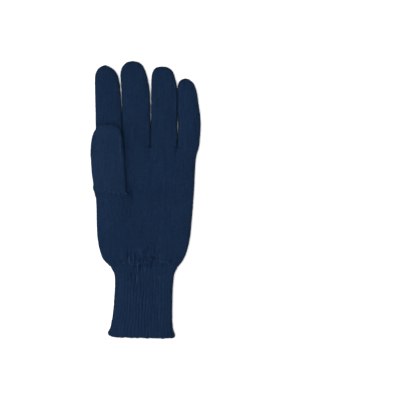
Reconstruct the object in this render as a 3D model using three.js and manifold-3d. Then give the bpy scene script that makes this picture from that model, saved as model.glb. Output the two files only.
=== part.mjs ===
// Knitted glove liner for a left hand, empty and lying palm up, with its thumb folded over
// the palm. Millimetres, +Z up, +Y towards the fingertips, +X towards the little finger.
// The back of the glove rests on z = 0. Four finger tubes run into the upper palm, the
// thumb tube joins at the thumb line, and the lower palm is gathered into a ribbed cuff.

import * as THREE from 'three';
import { mergeVertices } from 'three/addons/utils/BufferGeometryUtils.js';
import Module from 'manifold-3d';

const wasm = await Module();
wasm.setup();

// Driving sizes: the cloth

const wall = 1.5;
const pieceGap = 0.3;
const palmHeight = 8.8;
const fingerHeight = 8.4;
const thumbHeight = 8.4;
const cuffHeight = 9.8;
const palmSag = 0.7;
const gatherDepth = 0.8;
const ribDepth = 0.7;
const ribPitch = 2.87;
const edgeLumpDepth = 0.35;

// Driving sizes: lengths along the hand

const indexLength = 77.7;
const middleLength = 81.8;
const ringLength = 76.5;
const littleLength = 65.1;
const thumbLength = 66.1;
const upperPalmLength = 44.8;
const lowerPalmLength = 69.8;
const cuffLength = 65.4;
const edgeLength = 1.7;
const thumbRootLength = 50;
const webDepth = 7;
const hemSlant = 1.6;

// Driving sizes: widths across the hand

const indexWidth = 25.2;
const middleWidth = 26.6;
const ringWidth = 25.8;
const littleWidth = 20.6;
const thumbWidth = 29.1;
const palmWidth = 91.2;
const cuffTopWidth = 64.4;
const wristWidth = 55.0;
const hemWidth = 63.6;
const knuckleShift = 2.9;
const hemShift = -2.5;

// Shape of a soft tube lying flat: its lower corners are arcs of this share of its height,
// and its crown is half a superellipse, rounder on a finger than on the wide palm

const cornerShare = 0.42;
const fingerCrown = 2.5;
const palmCrown = 4;
const cuffCrown = 3.5;
const gatherCount = 12;
const overcut = 1;

// Where the hollow of a finger root is measured below the knuckle line, as shares of the web

const fingerRootDepths = [1.6, 0.9, 0.4, 0];

// How finely the outlines are divided

const fingerSteps = { crown: 12, corner: 3 };
const palmSteps = { crown: 18, corner: 3 };
const rootSteps = { crown: 12, corner: 2 };
const knuckleSteps = { crown: 6, corner: 2 };
const cuffHollowSteps = { crown: 16, corner: 2 };
const outlineSamples = 240;

// Places along Y: the thumb line is y = 0

const thumbLine = 0;
const knuckleLine = thumbLine + upperPalmLength;
const gatherLine = thumbLine - lowerPalmLength;
const hemLine = gatherLine - pieceGap - cuffLength;

// Sections of the fingers. along: share of the length, left and right: edges as shares of
// the root's width, height: share of the finger's height, lift: share of it under the tip

const indexRows = [
  { along: 0.00, left: 0.00, right: 1.00, height: 1.00, lift: 0.00 },
  { along: 0.23, left: 0.01, right: 1.00, height: 0.98, lift: 0.00 },
  { along: 0.46, left: 0.00, right: 0.98, height: 0.97, lift: 0.00 },
  { along: 0.64, left: -0.01, right: 0.95, height: 0.98, lift: 0.00 },
  { along: 0.77, left: -0.02, right: 0.92, height: 1.00, lift: 0.00 },
  { along: 0.84, left: -0.02, right: 0.90, height: 0.98, lift: 0.00 },
  { along: 0.893, left: 0.00, right: 0.83, height: 0.92, lift: 0.02 },
  { along: 0.942, left: 0.07, right: 0.735, height: 0.82, lift: 0.07 },
  { along: 0.967, left: 0.135, right: 0.64, height: 0.72, lift: 0.12 },
  { along: 0.991, left: 0.275, right: 0.51, height: 0.50, lift: 0.22 },
];

const middleRows = [
  { along: 0.00, left: 0.00, right: 1.00, height: 1.00, lift: 0.00 },
  { along: 0.22, left: 0.00, right: 1.01, height: 0.98, lift: 0.00 },
  { along: 0.43, left: -0.01, right: 1.01, height: 0.97, lift: 0.00 },
  { along: 0.61, left: -0.03, right: 1.00, height: 0.98, lift: 0.00 },
  { along: 0.72, left: -0.05, right: 0.955, height: 1.00, lift: 0.00 },
  { along: 0.825, left: -0.075, right: 0.885, height: 0.99, lift: 0.00 },
  { along: 0.883, left: -0.065, right: 0.83, height: 0.94, lift: 0.02 },
  { along: 0.935, left: 0.00, right: 0.755, height: 0.84, lift: 0.06 },
  { along: 0.967, left: 0.085, right: 0.68, height: 0.72, lift: 0.11 },
  { along: 0.990, left: 0.18, right: 0.56, height: 0.52, lift: 0.21 },
];

const ringRows = [
  { along: 0.00, left: 0.00, right: 1.00, height: 1.00, lift: 0.00 },
  { along: 0.20, left: 0.02, right: 0.985, height: 0.98, lift: 0.00 },
  { along: 0.40, left: 0.025, right: 0.995, height: 0.97, lift: 0.00 },
  { along: 0.60, left: 0.02, right: 0.995, height: 0.98, lift: 0.00 },
  { along: 0.74, left: 0.025, right: 0.98, height: 1.00, lift: 0.00 },
  { along: 0.84, left: 0.03, right: 0.92, height: 0.99, lift: 0.00 },
  { along: 0.906, left: 0.055, right: 0.87, height: 0.92, lift: 0.02 },
  { along: 0.950, left: 0.10, right: 0.80, height: 0.82, lift: 0.07 },
  { along: 0.977, left: 0.165, right: 0.71, height: 0.70, lift: 0.12 },
  { along: 0.994, left: 0.26, right: 0.61, height: 0.50, lift: 0.22 },
];

const littleRows = [
  { along: 0.00, left: 0.00, right: 1.00, height: 1.00, lift: 0.00 },
  { along: 0.17, left: 0.03, right: 1.05, height: 0.98, lift: 0.00 },
  { along: 0.32, left: 0.055, right: 1.07, height: 0.97, lift: 0.00 },
  { along: 0.47, left: 0.01, right: 1.045, height: 0.97, lift: 0.00 },
  { along: 0.62, left: 0.00, right: 0.97, height: 0.98, lift: 0.00 },
  { along: 0.76, left: 0.00, right: 0.915, height: 0.98, lift: 0.00 },
  { along: 0.85, left: 0.00, right: 0.845, height: 0.94, lift: 0.01 },
  { along: 0.915, left: 0.035, right: 0.76, height: 0.85, lift: 0.05 },
  { along: 0.957, left: 0.10, right: 0.65, height: 0.74, lift: 0.10 },
  { along: 0.987, left: 0.20, right: 0.52, height: 0.52, lift: 0.20 },
];

const thumbRows = [
  { along: 0.00, left: 0.00, right: 1.00, height: 1.00, lift: 0.00 },
  { along: 0.12, left: -0.10, right: 0.97, height: 1.00, lift: 0.00 },
  { along: 0.27, left: -0.15, right: 0.94, height: 1.00, lift: 0.00 },
  { along: 0.42, left: -0.175, right: 0.915, height: 1.00, lift: 0.00 },
  { along: 0.57, left: -0.195, right: 0.88, height: 1.00, lift: 0.00 },
  { along: 0.70, left: -0.185, right: 0.85, height: 0.98, lift: 0.00 },
  { along: 0.81, left: -0.145, right: 0.83, height: 0.95, lift: 0.00 },
  { along: 0.89, left: -0.075, right: 0.80, height: 0.87, lift: 0.02 },
  { along: 0.945, left: 0.02, right: 0.72, height: 0.76, lift: 0.06 },
  { along: 0.977, left: 0.13, right: 0.61, height: 0.64, lift: 0.10 },
  { along: 0.995, left: 0.26, right: 0.53, height: 0.48, lift: 0.18 },
];

// Upper palm from the knuckle line down. down: share of its length, spreadLeft and
// spreadRight: how far its edges stand out towards the knuckles' edges, valley and
// hollowValley: how deep the four finger roots part the outside and the hollow

const upperPalmRows = [
  { down: 0.00, spreadLeft: 1.0, spreadRight: 1.00, valley: 1.00, hollowValley: 1.00, sag: 0.0 },
  { down: 0.06, spreadLeft: 1.0, spreadRight: 0.90, valley: 0.78, hollowValley: 0.92, sag: 0.1 },
  { down: 0.16, spreadLeft: 1.0, spreadRight: 0.66, valley: 0.42, hollowValley: 0.76, sag: 0.2 },
  { down: 0.28, spreadLeft: 0.9, spreadRight: 0.52, valley: 0.14, hollowValley: 0.40, sag: 0.4 },
  { down: 0.42, spreadLeft: 0.8, spreadRight: 0.44, valley: 0.02, hollowValley: 0.12, sag: 0.7 },
  { down: 0.65, spreadLeft: 0.5, spreadRight: 0.36, valley: 0.00, hollowValley: 0.00, sag: 1.0 },
  { down: 1.00, spreadLeft: 0.1, spreadRight: 0.26, valley: 0.00, hollowValley: 0.00, sag: 1.0 },
];

// Lower palm from the thumb line down. narrowLeft and narrowRight: how far its edges have
// drawn in to the cuff, puff: how far its height has turned into the cuff's, gather: how
// deep its pleats are

const lowerPalmRows = [
  { down: 0.00, spread: 0.26, narrowLeft: 0.00, narrowRight: 0.00, puff: 0.0, gather: 0.0, sag: 1.0 },
  { down: 0.20, spread: 0.09, narrowLeft: 0.01, narrowRight: 0.00, puff: 0.0, gather: 0.0, sag: 1.0 },
  { down: 0.42, spread: 0.00, narrowLeft: 0.03, narrowRight: 0.05, puff: 0.0, gather: 0.0, sag: 0.9 },
  { down: 0.58, spread: 0.00, narrowLeft: 0.07, narrowRight: 0.13, puff: 0.1, gather: 0.0, sag: 0.8 },
  { down: 0.72, spread: 0.00, narrowLeft: 0.17, narrowRight: 0.27, puff: 0.3, gather: 0.15, sag: 0.6 },
  { down: 0.82, spread: 0.00, narrowLeft: 0.31, narrowRight: 0.42, puff: 0.5, gather: 0.55, sag: 0.3 },
  { down: 0.90, spread: 0.00, narrowLeft: 0.47, narrowRight: 0.60, puff: 0.8, gather: 0.90, sag: 0.1 },
  { down: 0.96, spread: 0.00, narrowLeft: 0.77, narrowRight: 0.80, puff: 0.9, gather: 1.00, sag: 0.0 },
  { down: 1.00, spread: 0.00, narrowLeft: 1.00, narrowRight: 1.00, puff: 1.0, gather: 0.90, sag: 0.0 },
];

// Thumb root from the thumb line down into the lower palm. left and right: edges as shares
// of the thumb's width, crown and sole: 1 on top of the palm, 0 sunk into it, ease: how far
// the side towards the palm's middle has turned into a soft slope

const thumbRootRows = [
  { down: 0.00, left: 0.00, right: 1.00, crown: 1.00, sole: 1.00, ease: 0.00 },
  { down: 0.06, left: 0.00, right: 1.06, crown: 0.97, sole: 0.80, ease: 0.45 },
  { down: 0.14, left: 0.00, right: 1.20, crown: 0.88, sole: 0.50, ease: 0.85 },
  { down: 0.26, left: 0.01, right: 1.38, crown: 0.74, sole: 0.22, ease: 1.00 },
  { down: 0.42, left: 0.02, right: 1.50, crown: 0.54, sole: 0.08, ease: 1.00 },
  { down: 0.60, left: 0.05, right: 1.52, crown: 0.33, sole: 0.02, ease: 1.00 },
  { down: 0.80, left: 0.10, right: 1.45, crown: 0.14, sole: 0.00, ease: 1.00 },
  { down: 1.00, left: 0.18, right: 1.30, crown: 0.00, sole: 0.00, ease: 1.00 },
];

// Cuff from the gather line down. gathered: how much of the gathered width is left,
// flareLeft and flareRight: how far the edges stand out towards the hem's

const cuffRows = [
  { down: 0.00, gathered: 1.00, flareLeft: 0.00, flareRight: 0.00 },
  { down: 0.08, gathered: 0.30, flareLeft: 0.00, flareRight: 0.00 },
  { down: 0.15, gathered: 0.08, flareLeft: 0.00, flareRight: 0.00 },
  { down: 0.32, gathered: 0.00, flareLeft: 0.05, flareRight: -0.35 },
  { down: 0.58, gathered: 0.00, flareLeft: 0.22, flareRight: -0.55 },
  { down: 0.76, gathered: 0.00, flareLeft: 0.42, flareRight: -0.55 },
  { down: 0.88, gathered: 0.00, flareLeft: 0.70, flareRight: 0.00 },
  { down: 1.00, gathered: 0.00, flareLeft: 0.98, flareRight: 0.95 },
];

// Cast-on edge: a thin rounded band. inset: share of the wall by which it is drawn in

const edgeRows = [
  { down: 0.00, inset: 0.25 },
  { down: 0.30, inset: 0.00 },
  { down: 0.70, inset: 0.00 },
  { down: 1.00, inset: 0.30 },
];

// One rib of the cuff: three points around it, with the share of the depth at each

const ribProfile = [
  { around: 0.12, depth: 0 },
  { around: 0.52, depth: 0 },
  { around: 0.82, depth: 1 },
];

const lerp = THREE.MathUtils.lerp;

// Row of a table at a place between its rows, with every column carried over evenly
function rowAt(rows, key, place) {
  const next = rows.findIndex((row) => row[key] >= place);
  if (next === 0) {
    return rows[0];
  }
  if (next < 0) {
    return rows[rows.length - 1];
  }
  const before = rows[next - 1];
  const after = rows[next];
  const share = (place - before[key]) / (after[key] - before[key]);
  return Object.fromEntries(Object.keys(after).map((name) => [name, lerp(before[name], after[name], share)]));
}

// Radius of the lower corners of a soft tube
function cornerRadius(half, height) {
  return Math.min(cornerShare * height, 0.9 * half);
}

// Height of the upper face above the tube's floor, at a place across from -1 to 1
function crownRise(across, half, height, power) {
  const corner = cornerRadius(half, height);
  const fullness = Math.pow(Math.max(0, 1 - Math.pow(Math.abs(across), power)), 1 / power);
  return corner + (height - corner) * fullness;
}

// The same height where the side towards +X runs out in a soft slope
function slopedRise(across, half, height, power) {
  if (across <= 0) {
    return crownRise(across, half, height, power);
  }
  const corner = cornerRadius(half, height);
  return corner + ((height - corner) * (1 + Math.cos(Math.PI * across))) / 2;
}

// Height of the lower face above the tube's floor
function soleRise(across, half, height) {
  const corner = cornerRadius(half, height);
  const inward = (1 - Math.abs(across)) * half;
  if (inward >= corner) {
    return 0;
  }
  return corner - Math.sqrt(corner * corner - (corner - inward) * (corner - inward));
}

// Places across the crown, right to left, crowded towards the sides
function crownPlaces(count, power) {
  const places = [];
  for (let step = 0; step <= count; step += 1) {
    const cosine = Math.cos((Math.PI * step) / count);
    places.push(Math.sign(cosine) * Math.pow(Math.abs(cosine), 2 / power));
  }
  return places;
}

// Places across the sole, left to right, without the two ends
function solePlaces(count, half, height) {
  const ratio = cornerRadius(half, height) / half;
  const inward = [];
  for (let step = 1; step <= count; step += 1) {
    inward.push(ratio * (1 - Math.cos((Math.PI / 2) * (step / count))));
  }
  return [...inward.map((share) => share - 1), ...inward.map((share) => 1 - share).reverse()];
}

// Stations round a whole tube, anticlockwise when looking along +Y
function tubeStations(steps, half, height, power) {
  const crown = crownPlaces(steps.crown, power).map((across) => ({ across, onCrown: true }));
  const sole = solePlaces(steps.corner, half, height).map((across) => ({ across, onCrown: false }));
  return [...crown, ...sole];
}

// Ring of points of a plain tube section, moved inwards by an inset
function tubeRing(section, stations, inset) {
  const half = (section.right - section.left) / 2 - inset;
  const middle = (section.right + section.left) / 2;
  const floor = section.floor + inset;
  const height = section.height - 2 * inset;
  return stations.map(({ across, onCrown }) => {
    const hollow = (section.sag ?? 0) * Math.pow(1 - across * across, 2);
    const pleat = (section.pleat ?? 0) * pleatWave(across);
    const round = crownRise(across, half, height, section.power);
    const crown = lerp(round, slopedRise(across, half, height, section.power), section.ease ?? 0);
    const rise = onCrown ? crown - hollow - pleat : soleRise(across, half, height) + pleat / 2;
    return new THREE.Vector3(middle + across * half, section.y, floor + rise);
  });
}

// Depth of the gathers across the palm, from 0 on a ridge to 1 in a fold
function pleatWave(across) {
  const fade = 1 - Math.pow(across, 6);
  return (fade * (1 - Math.cos(Math.PI * gatherCount * across))) / 2;
}

// Flat triangles over a ring's end, turned to face -Y, or +Y when far is true
function capTriangles(ring, offset, far) {
  const flat = ring.map((point) => new THREE.Vector2(point.x, point.z));
  return THREE.ShapeUtils.triangulateShape(flat, []).flatMap(([a, b, c]) => {
    const turn = (flat[b].x - flat[a].x) * (flat[c].y - flat[a].y)
      - (flat[b].y - flat[a].y) * (flat[c].x - flat[a].x);
    const facesNear = turn > 0;
    return facesNear === far ? [offset + a, offset + c, offset + b] : [offset + a, offset + b, offset + c];
  });
}

// Closed solid through rings that follow each other towards +Y, ending in a point if given
function loft(rings, apex = null) {
  const around = rings[0].length;
  const points = rings.flat();
  const triangles = capTriangles(rings[0], 0, false);
  for (let row = 0; row + 1 < rings.length; row += 1) {
    for (let station = 0; station < around; station += 1) {
      const next = (station + 1) % around;
      const near = row * around;
      const far = near + around;
      triangles.push(near + station, far + next, near + next);
      triangles.push(near + station, far + station, far + next);
    }
  }
  const last = (rings.length - 1) * around;
  if (apex) {
    const tip = points.length;
    points.push(apex);
    for (let station = 0; station < around; station += 1) {
      triangles.push(last + station, tip, last + (station + 1) % around);
    }
  } else {
    triangles.push(...capTriangles(rings[rings.length - 1], last, true));
  }
  const geometry = new THREE.BufferGeometry().setFromPoints(points);
  geometry.setIndex(triangles);
  return toSolid(geometry);
}

function toSolid(geometry) {
  const merged = mergeVertices(geometry, 1e-5);
  return new wasm.Manifold(new wasm.Mesh({
    numProp: 3,
    vertProperties: new Float32Array(merged.attributes.position.array),
    triVerts: new Uint32Array(merged.index.array),
  }));
}

function toMesh(name, solid, material) {
  const { vertProperties, triVerts } = solid.getMesh();
  const geometry = new THREE.BufferGeometry();
  geometry.setAttribute('position', new THREE.BufferAttribute(new Float32Array(vertProperties), 3));
  geometry.setIndex(new THREE.BufferAttribute(new Uint32Array(triVerts), 1));
  geometry.computeVertexNormals();
  const mesh = new THREE.Mesh(geometry, material);
  mesh.name = name;
  return mesh;
}

// Section moved along Y, to let a cutting loft run past an open end
function movedAlong(section, distance) {
  return { ...section, y: section.y + distance };
}

// Where the palm's and the cuff's edges stand

const palmLeft = -palmWidth / 2;
const palmRight = palmWidth / 2;
const knuckleWidth = indexWidth + middleWidth + ringWidth + littleWidth + 3 * pieceGap;
const knuckleLeft = knuckleShift - knuckleWidth / 2;
const knuckleRight = knuckleLeft + knuckleWidth;
const stackFloor = Math.max(palmHeight, fingerHeight) + pieceGap;

// The four fingers, side by side from the index finger's edge

const fingerPlans = [
  { name: 'index_finger', length: indexLength, width: indexWidth, rows: indexRows, tip: 0.39 },
  { name: 'middle_finger', length: middleLength, width: middleWidth, rows: middleRows, tip: 0.36 },
  { name: 'ring_finger', length: ringLength, width: ringWidth, rows: ringRows, tip: 0.43 },
  { name: 'little_finger', length: littleLength, width: littleWidth, rows: littleRows, tip: 0.35 },
];

let fingerEdge = knuckleLeft;
for (const plan of fingerPlans) {
  plan.left = fingerEdge;
  plan.root = knuckleLine;
  plan.floor = 0;
  plan.height = fingerHeight;
  fingerEdge += plan.width + pieceGap;
}

const thumbPlan = {
  name: 'thumb',
  length: thumbLength,
  width: thumbWidth,
  rows: thumbRows,
  tip: 0.4,
  left: palmLeft,
  root: thumbLine,
  floor: stackFloor,
  height: thumbHeight,
};

// Edge of a digit at a height along Y, as a place along X
function digitEdge(plan, side, y) {
  const row = rowAt(plan.rows, 'along', (y - plan.root) / plan.length);
  return plan.left + row[side] * plan.width;
}

// Sections of a digit. Its left edge keeps clear of the neighbour that it lies beside
function digitSections(plan, neighbour) {
  return plan.rows.map((row) => {
    const y = plan.root + row.along * plan.length;
    const left = plan.left + row.left * plan.width;
    const besideLeft = neighbour && y < neighbour.root + neighbour.length
      ? Math.max(left, digitEdge(neighbour, 'right', y) + pieceGap)
      : left;
    return {
      y,
      left: besideLeft,
      right: plan.left + row.right * plan.width,
      floor: plan.floor + row.lift * plan.height,
      height: row.height * plan.height,
      power: fingerCrown,
    };
  });
}

// Closed tip of a digit
function digitTip(plan, shorten) {
  const last = plan.rows[plan.rows.length - 1];
  const level = plan.floor + (last.lift + last.height / 2) * plan.height;
  return new THREE.Vector3(plan.left + plan.tip * plan.width, plan.root + plan.length - shorten, level);
}

// Hollow finger or thumb, open at its root, which starts a gap above the palm piece
function digitSolid(plan, neighbour) {
  const sections = digitSections(plan, neighbour);
  const stations = tubeStations(fingerSteps, plan.width / 2, plan.height, fingerCrown);
  const outerSections = [movedAlong(sections[0], pieceGap), ...sections.slice(1)];
  const outer = loft(outerSections.map((section) => tubeRing(section, stations, 0)), digitTip(plan, 0));
  const shrink = (plan.length - wall) / plan.length;
  const hollowSections = sections
    .filter((section) => section.right - section.left > 5 * wall && section.height > 3 * wall)
    .map((section) => ({ ...section, y: plan.root + (section.y - plan.root) * shrink }));
  hollowSections[0] = movedAlong(hollowSections[0], -overcut);
  const hollowStations = tubeStations(rootSteps, plan.width / 2, plan.height, fingerCrown);
  const hollow = loft(
    hollowSections.map((section) => tubeRing(section, hollowStations, wall)),
    digitTip(plan, 1.5 * wall),
  );
  return outer.subtract(hollow);
}

// Stations of the upper palm: those of each finger root, side by side
function knuckleStations() {
  const sole = [];
  const crown = [];
  fingerPlans.forEach((plan, index) => {
    const first = index === 0;
    const final = index === fingerPlans.length - 1;
    const left = plan.left - (first ? 0 : pieceGap / 2);
    const right = plan.left + plan.width + (final ? 0 : pieceGap / 2);
    const place = (local, onCrown) => ({
      local,
      onCrown,
      across: (2 * (lerp(left, right, (local + 1) / 2) - knuckleLeft)) / knuckleWidth - 1,
      rootHalf: (right - left) / 2,
    });
    const inner = solePlaces(knuckleSteps.corner, plan.width / 2, fingerHeight);
    sole.push(...inner.map((local) => place(local, false)));
    if (!final) {
      sole.push(place(1, false));
    }
    const over = crownPlaces(knuckleSteps.crown, fingerCrown).map((local) => place(local, true));
    crown.unshift(...(first ? over : over.slice(0, -1)));
  });
  return [...crown, ...sole];
}

// Ring of the upper palm: between one wide tube and four finger roots side by side
function knuckleRing(section, stations, inset) {
  const half = (section.right - section.left) / 2 - inset;
  const middle = (section.right + section.left) / 2;
  const height = section.height - 2 * inset;
  const rootHeight = fingerHeight - 2 * inset;
  return stations.map(({ across, local, onCrown, rootHalf }) => {
    const hollow = section.sag * Math.pow(1 - across * across, 2);
    const wide = onCrown ? crownRise(across, half, height, palmCrown) - hollow : soleRise(across, half, height);
    const parted = onCrown
      ? crownRise(local, rootHalf, rootHeight, fingerCrown)
      : soleRise(local, rootHalf, rootHeight);
    const rise = lerp(wide, parted, section.valley);
    return new THREE.Vector3(middle + across * half, section.y, inset + rise);
  });
}

function upperPalmSection(row, valley) {
  return {
    y: knuckleLine - row.down * upperPalmLength,
    left: lerp(palmLeft, knuckleLeft, row.spreadLeft),
    right: lerp(palmRight, knuckleRight, row.spreadRight),
    floor: 0,
    height: palmHeight,
    sag: row.sag * palmSag,
    valley,
  };
}

// Palm of four fingers, from the knuckle line to the thumb line
function upperPalmSolid() {
  const stations = knuckleStations();
  const sections = upperPalmRows.map((row) => upperPalmSection(row, row.valley)).reverse();
  sections[0] = movedAlong(sections[0], pieceGap);
  const outer = loft(sections.map((section) => knuckleRing(section, stations, 0)));
  const webShare = webDepth / upperPalmLength;
  const hollowRows = [rowAt(upperPalmRows, 'down', webShare)];
  hollowRows.push(...upperPalmRows.filter((row) => row.down > webShare + 0.01));
  const hollowSections = hollowRows.map((row) => upperPalmSection(row, row.hollowValley)).reverse();
  hollowSections[0] = movedAlong(hollowSections[0], -overcut);
  const solid = outer.subtract(loft(hollowSections.map((section) => knuckleRing(section, stations, wall))));
  return fingerPlans.reduce((palm, plan) => palm.subtract(fingerRootHollow(plan)), solid);
}

// Hollow of one finger root, from the palm's hollow through the web and past the knuckle line
function fingerRootHollow(plan) {
  const stations = tubeStations(rootSteps, plan.width / 2, fingerHeight, fingerCrown);
  const sections = fingerRootDepths.map((depth) => {
    const palm = upperPalmSection(rowAt(upperPalmRows, 'down', (depth * webDepth) / upperPalmLength), 0);
    const followed = (x) => lerp(palm.left, palm.right, (x - knuckleLeft) / knuckleWidth);
    return {
      y: knuckleLine - depth * webDepth,
      left: followed(plan.left),
      right: followed(plan.left + plan.width),
      floor: 0,
      height: fingerHeight,
      power: fingerCrown,
    };
  });
  sections.push(movedAlong(sections[sections.length - 1], overcut));
  return loft(sections.map((section) => tubeRing(section, stations, wall)));
}

// Stations of the lower palm: four to each gather across the crown, plain on the sole
function gatherStations() {
  const crown = [{ across: 1, onCrown: true }, { across: 0.985, onCrown: true }];
  const quarters = 4 * gatherCount;
  for (let step = 1; step < quarters; step += 1) {
    crown.push({ across: 1 - (2 * step) / quarters, onCrown: true });
  }
  crown.push({ across: -0.985, onCrown: true }, { across: -1, onCrown: true });
  const corners = solePlaces(palmSteps.corner, palmWidth / 2, palmHeight);
  const sole = corners.map((across) => ({ across, onCrown: false }));
  for (let step = 3; step < quarters / 2 - 2; step += 1) {
    sole.splice(palmSteps.corner + step - 3, 0, { across: (4 * step) / quarters - 1, onCrown: false });
  }
  return [...crown, ...sole];
}

function lowerPalmSection(row) {
  const left = palmLeft;
  const right = lerp(palmRight, knuckleRight, row.spread);
  return {
    y: thumbLine - row.down * lowerPalmLength,
    left: lerp(left, -cuffTopWidth / 2, row.narrowLeft),
    right: lerp(right, cuffTopWidth / 2, row.narrowRight),
    floor: 0,
    height: lerp(palmHeight, cuffHeight, row.puff),
    power: lerp(palmCrown, cuffCrown, row.puff),
    sag: row.sag * palmSag,
    pleat: row.gather * gatherDepth,
  };
}

function thumbRootSection(row) {
  const sunkCrown = 0.72 * palmHeight;
  const floor = lerp(0, stackFloor, row.sole);
  return {
    y: thumbLine - row.down * thumbRootLength,
    left: palmLeft + row.left * thumbWidth,
    right: palmLeft + row.right * thumbWidth,
    floor,
    height: lerp(sunkCrown, stackFloor + thumbHeight, row.crown) - floor,
    power: fingerCrown,
    ease: row.ease,
  };
}

// Palm of five fingers, from the thumb line to the gathers, with the thumb's root on it
function lowerPalmSolid() {
  const stations = gatherStations();
  const sections = lowerPalmRows.map(lowerPalmSection).reverse();
  const palm = loft(sections.map((section) => tubeRing(section, stations, 0)));
  const rootSections = thumbRootRows.map(thumbRootSection).reverse();
  const rootStations = tubeStations(fingerSteps, thumbWidth / 2, thumbHeight, fingerCrown);
  const root = loft(rootSections.map((section) => tubeRing(section, rootStations, 0)));
  const hollowStations = tubeStations(palmSteps, palmWidth / 2, palmHeight, palmCrown);
  const hollowSections = sections.map((section) => {
    const pleat = section.pleat;
    return { ...section, pleat: 0, floor: pleat / 2, height: section.height - 1.5 * pleat };
  });
  hollowSections[0] = movedAlong(hollowSections[0], -overcut);
  hollowSections[hollowSections.length - 1] = movedAlong(hollowSections[hollowSections.length - 1], overcut);
  const palmHollow = loft(hollowSections.map((section) => tubeRing(section, hollowStations, wall)));
  const rootHollowSections = [...rootSections];
  rootHollowSections[rootSections.length - 1] = movedAlong(rootSections[rootSections.length - 1], overcut);
  const rootHollow = loft(rootHollowSections.map((section) => tubeRing(section, rootStations, wall)));
  return palm.add(root).subtract(palmHollow).subtract(rootHollow);
}

function cuffSection(row) {
  const left = -wristWidth / 2;
  const right = wristWidth / 2;
  const gatheredLeft = row.gathered * (-cuffTopWidth / 2 - left);
  const gatheredRight = row.gathered * (cuffTopWidth / 2 - right);
  const flaredLeft = row.flareLeft * (hemShift - hemWidth / 2 - left);
  const flaredRight = row.flareRight * (hemShift + hemWidth / 2 - right);
  return {
    y: gatherLine - pieceGap - row.down * cuffLength,
    left: left + gatheredLeft + flaredLeft,
    right: right + gatheredRight + flaredRight,
    floor: 0,
    height: cuffHeight,
    power: cuffCrown,
    slant: row.down * hemSlant,
  };
}

// The hem hangs lower towards the little finger's side
function slantedRing(ring, section) {
  const half = (section.right - section.left) / 2;
  const middle = (section.right + section.left) / 2;
  return ring.map((point) => {
    const across = (point.x - middle) / half;
    return new THREE.Vector3(point.x, point.y - (section.slant * (1 + across)) / 2, point.z);
  });
}

// Number of ribs round the wrist
function ribCount() {
  const section = cuffSection(cuffRows[3]);
  const stations = tubeStations({ crown: outlineSamples, corner: 12 }, wristWidth / 2, cuffHeight, cuffCrown);
  const ring = tubeRing(section, stations, 0);
  const length = ring.reduce((sum, point, index) => sum + point.distanceTo(ring[(index + 1) % ring.length]), 0);
  return Math.round(length / ribPitch);
}

// Ring with ribs: the outline is walked evenly, and each rib's points are set inwards
function ribbedRing(section, count, depth, inset) {
  const stations = tubeStations({ crown: outlineSamples, corner: 12 }, wristWidth / 2, cuffHeight, cuffCrown);
  const outline = tubeRing(section, stations, inset);
  const curve = new THREE.CurvePath();
  outline.forEach((point, index) => {
    curve.add(new THREE.LineCurve3(point, outline[(index + 1) % outline.length]));
  });
  const ring = [];
  for (let rib = 0; rib < count; rib += 1) {
    for (const { around, depth: share } of ribProfile) {
      const place = (rib + around) / count;
      const point = curve.getPointAt(place);
      const tangent = curve.getTangentAt(place);
      const inward = new THREE.Vector3(-tangent.z, 0, tangent.x);
      ring.push(point.addScaledVector(inward, share * depth));
    }
  }
  return slantedRing(ring, section);
}

// Ribbed cuff, open at both ends
function cuffSolid(count) {
  const sections = cuffRows.map(cuffSection).reverse();
  const outer = loft(sections.map((section) => ribbedRing(section, count, ribDepth, 0)));
  return outer.subtract(cuffHollow(sections));
}

// Hollow that runs through a list of cuff sections and past both ends
function cuffHollow(sections) {
  const stations = tubeStations(cuffHollowSteps, wristWidth / 2, cuffHeight, cuffCrown);
  const first = movedAlong(sections[0], -overcut);
  const last = movedAlong(sections[sections.length - 1], overcut);
  const rings = [first, ...sections.slice(1, -1), last].map((section) => (
    slantedRing(tubeRing(section, stations, wall + ribDepth), section)
  ));
  return loft(rings);
}

// Cast-on edge, a thin band with a lump at each rib
function edgeSolid(count) {
  const hem = cuffSection(cuffRows[cuffRows.length - 1]);
  const sections = edgeRows.map((row) => ({
    ...hem,
    y: hemLine - pieceGap - row.down * edgeLength,
    inset: row.inset * wall,
  })).reverse();
  const outer = loft(sections.map((section) => ribbedRing(section, count, edgeLumpDepth, section.inset)));
  return outer.subtract(cuffHollow([sections[0], sections[sections.length - 1]]));
}

// Navy yarn, a little lighter on the thumb, which lies on top, and darker in the ribs

const palmYarn = new THREE.MeshStandardMaterial({ color: '#18293f', roughness: 0.95, metalness: 0 });
const thumbYarn = new THREE.MeshStandardMaterial({ color: '#1b2d46', roughness: 0.95, metalness: 0 });
const ribYarn = new THREE.MeshStandardMaterial({ color: '#162740', roughness: 0.95, metalness: 0 });
const edgeYarn = new THREE.MeshStandardMaterial({ color: '#1e3049', roughness: 0.95, metalness: 0 });

const glove = new THREE.Group();
fingerPlans.forEach((plan, index) => {
  const neighbour = index > 0 ? fingerPlans[index - 1] : null;
  glove.add(toMesh(plan.name, digitSolid(plan, neighbour), palmYarn));
});
glove.add(toMesh(thumbPlan.name, digitSolid(thumbPlan, null), thumbYarn));
glove.add(toMesh('upper_palm', upperPalmSolid(), palmYarn));
glove.add(toMesh('lower_palm', lowerPalmSolid(), palmYarn));

const ribs = ribCount();
glove.add(toMesh('cuff', cuffSolid(ribs), ribYarn));
glove.add(toMesh('cuff_edge', edgeSolid(ribs), edgeYarn));

// The origin is under the middle of the whole glove
const extent = new THREE.Box3().setFromObject(glove);
const centre = extent.getCenter(new THREE.Vector3());
glove.position.set(-centre.x, -centre.y, -extent.min.z);

export default glove;
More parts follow.
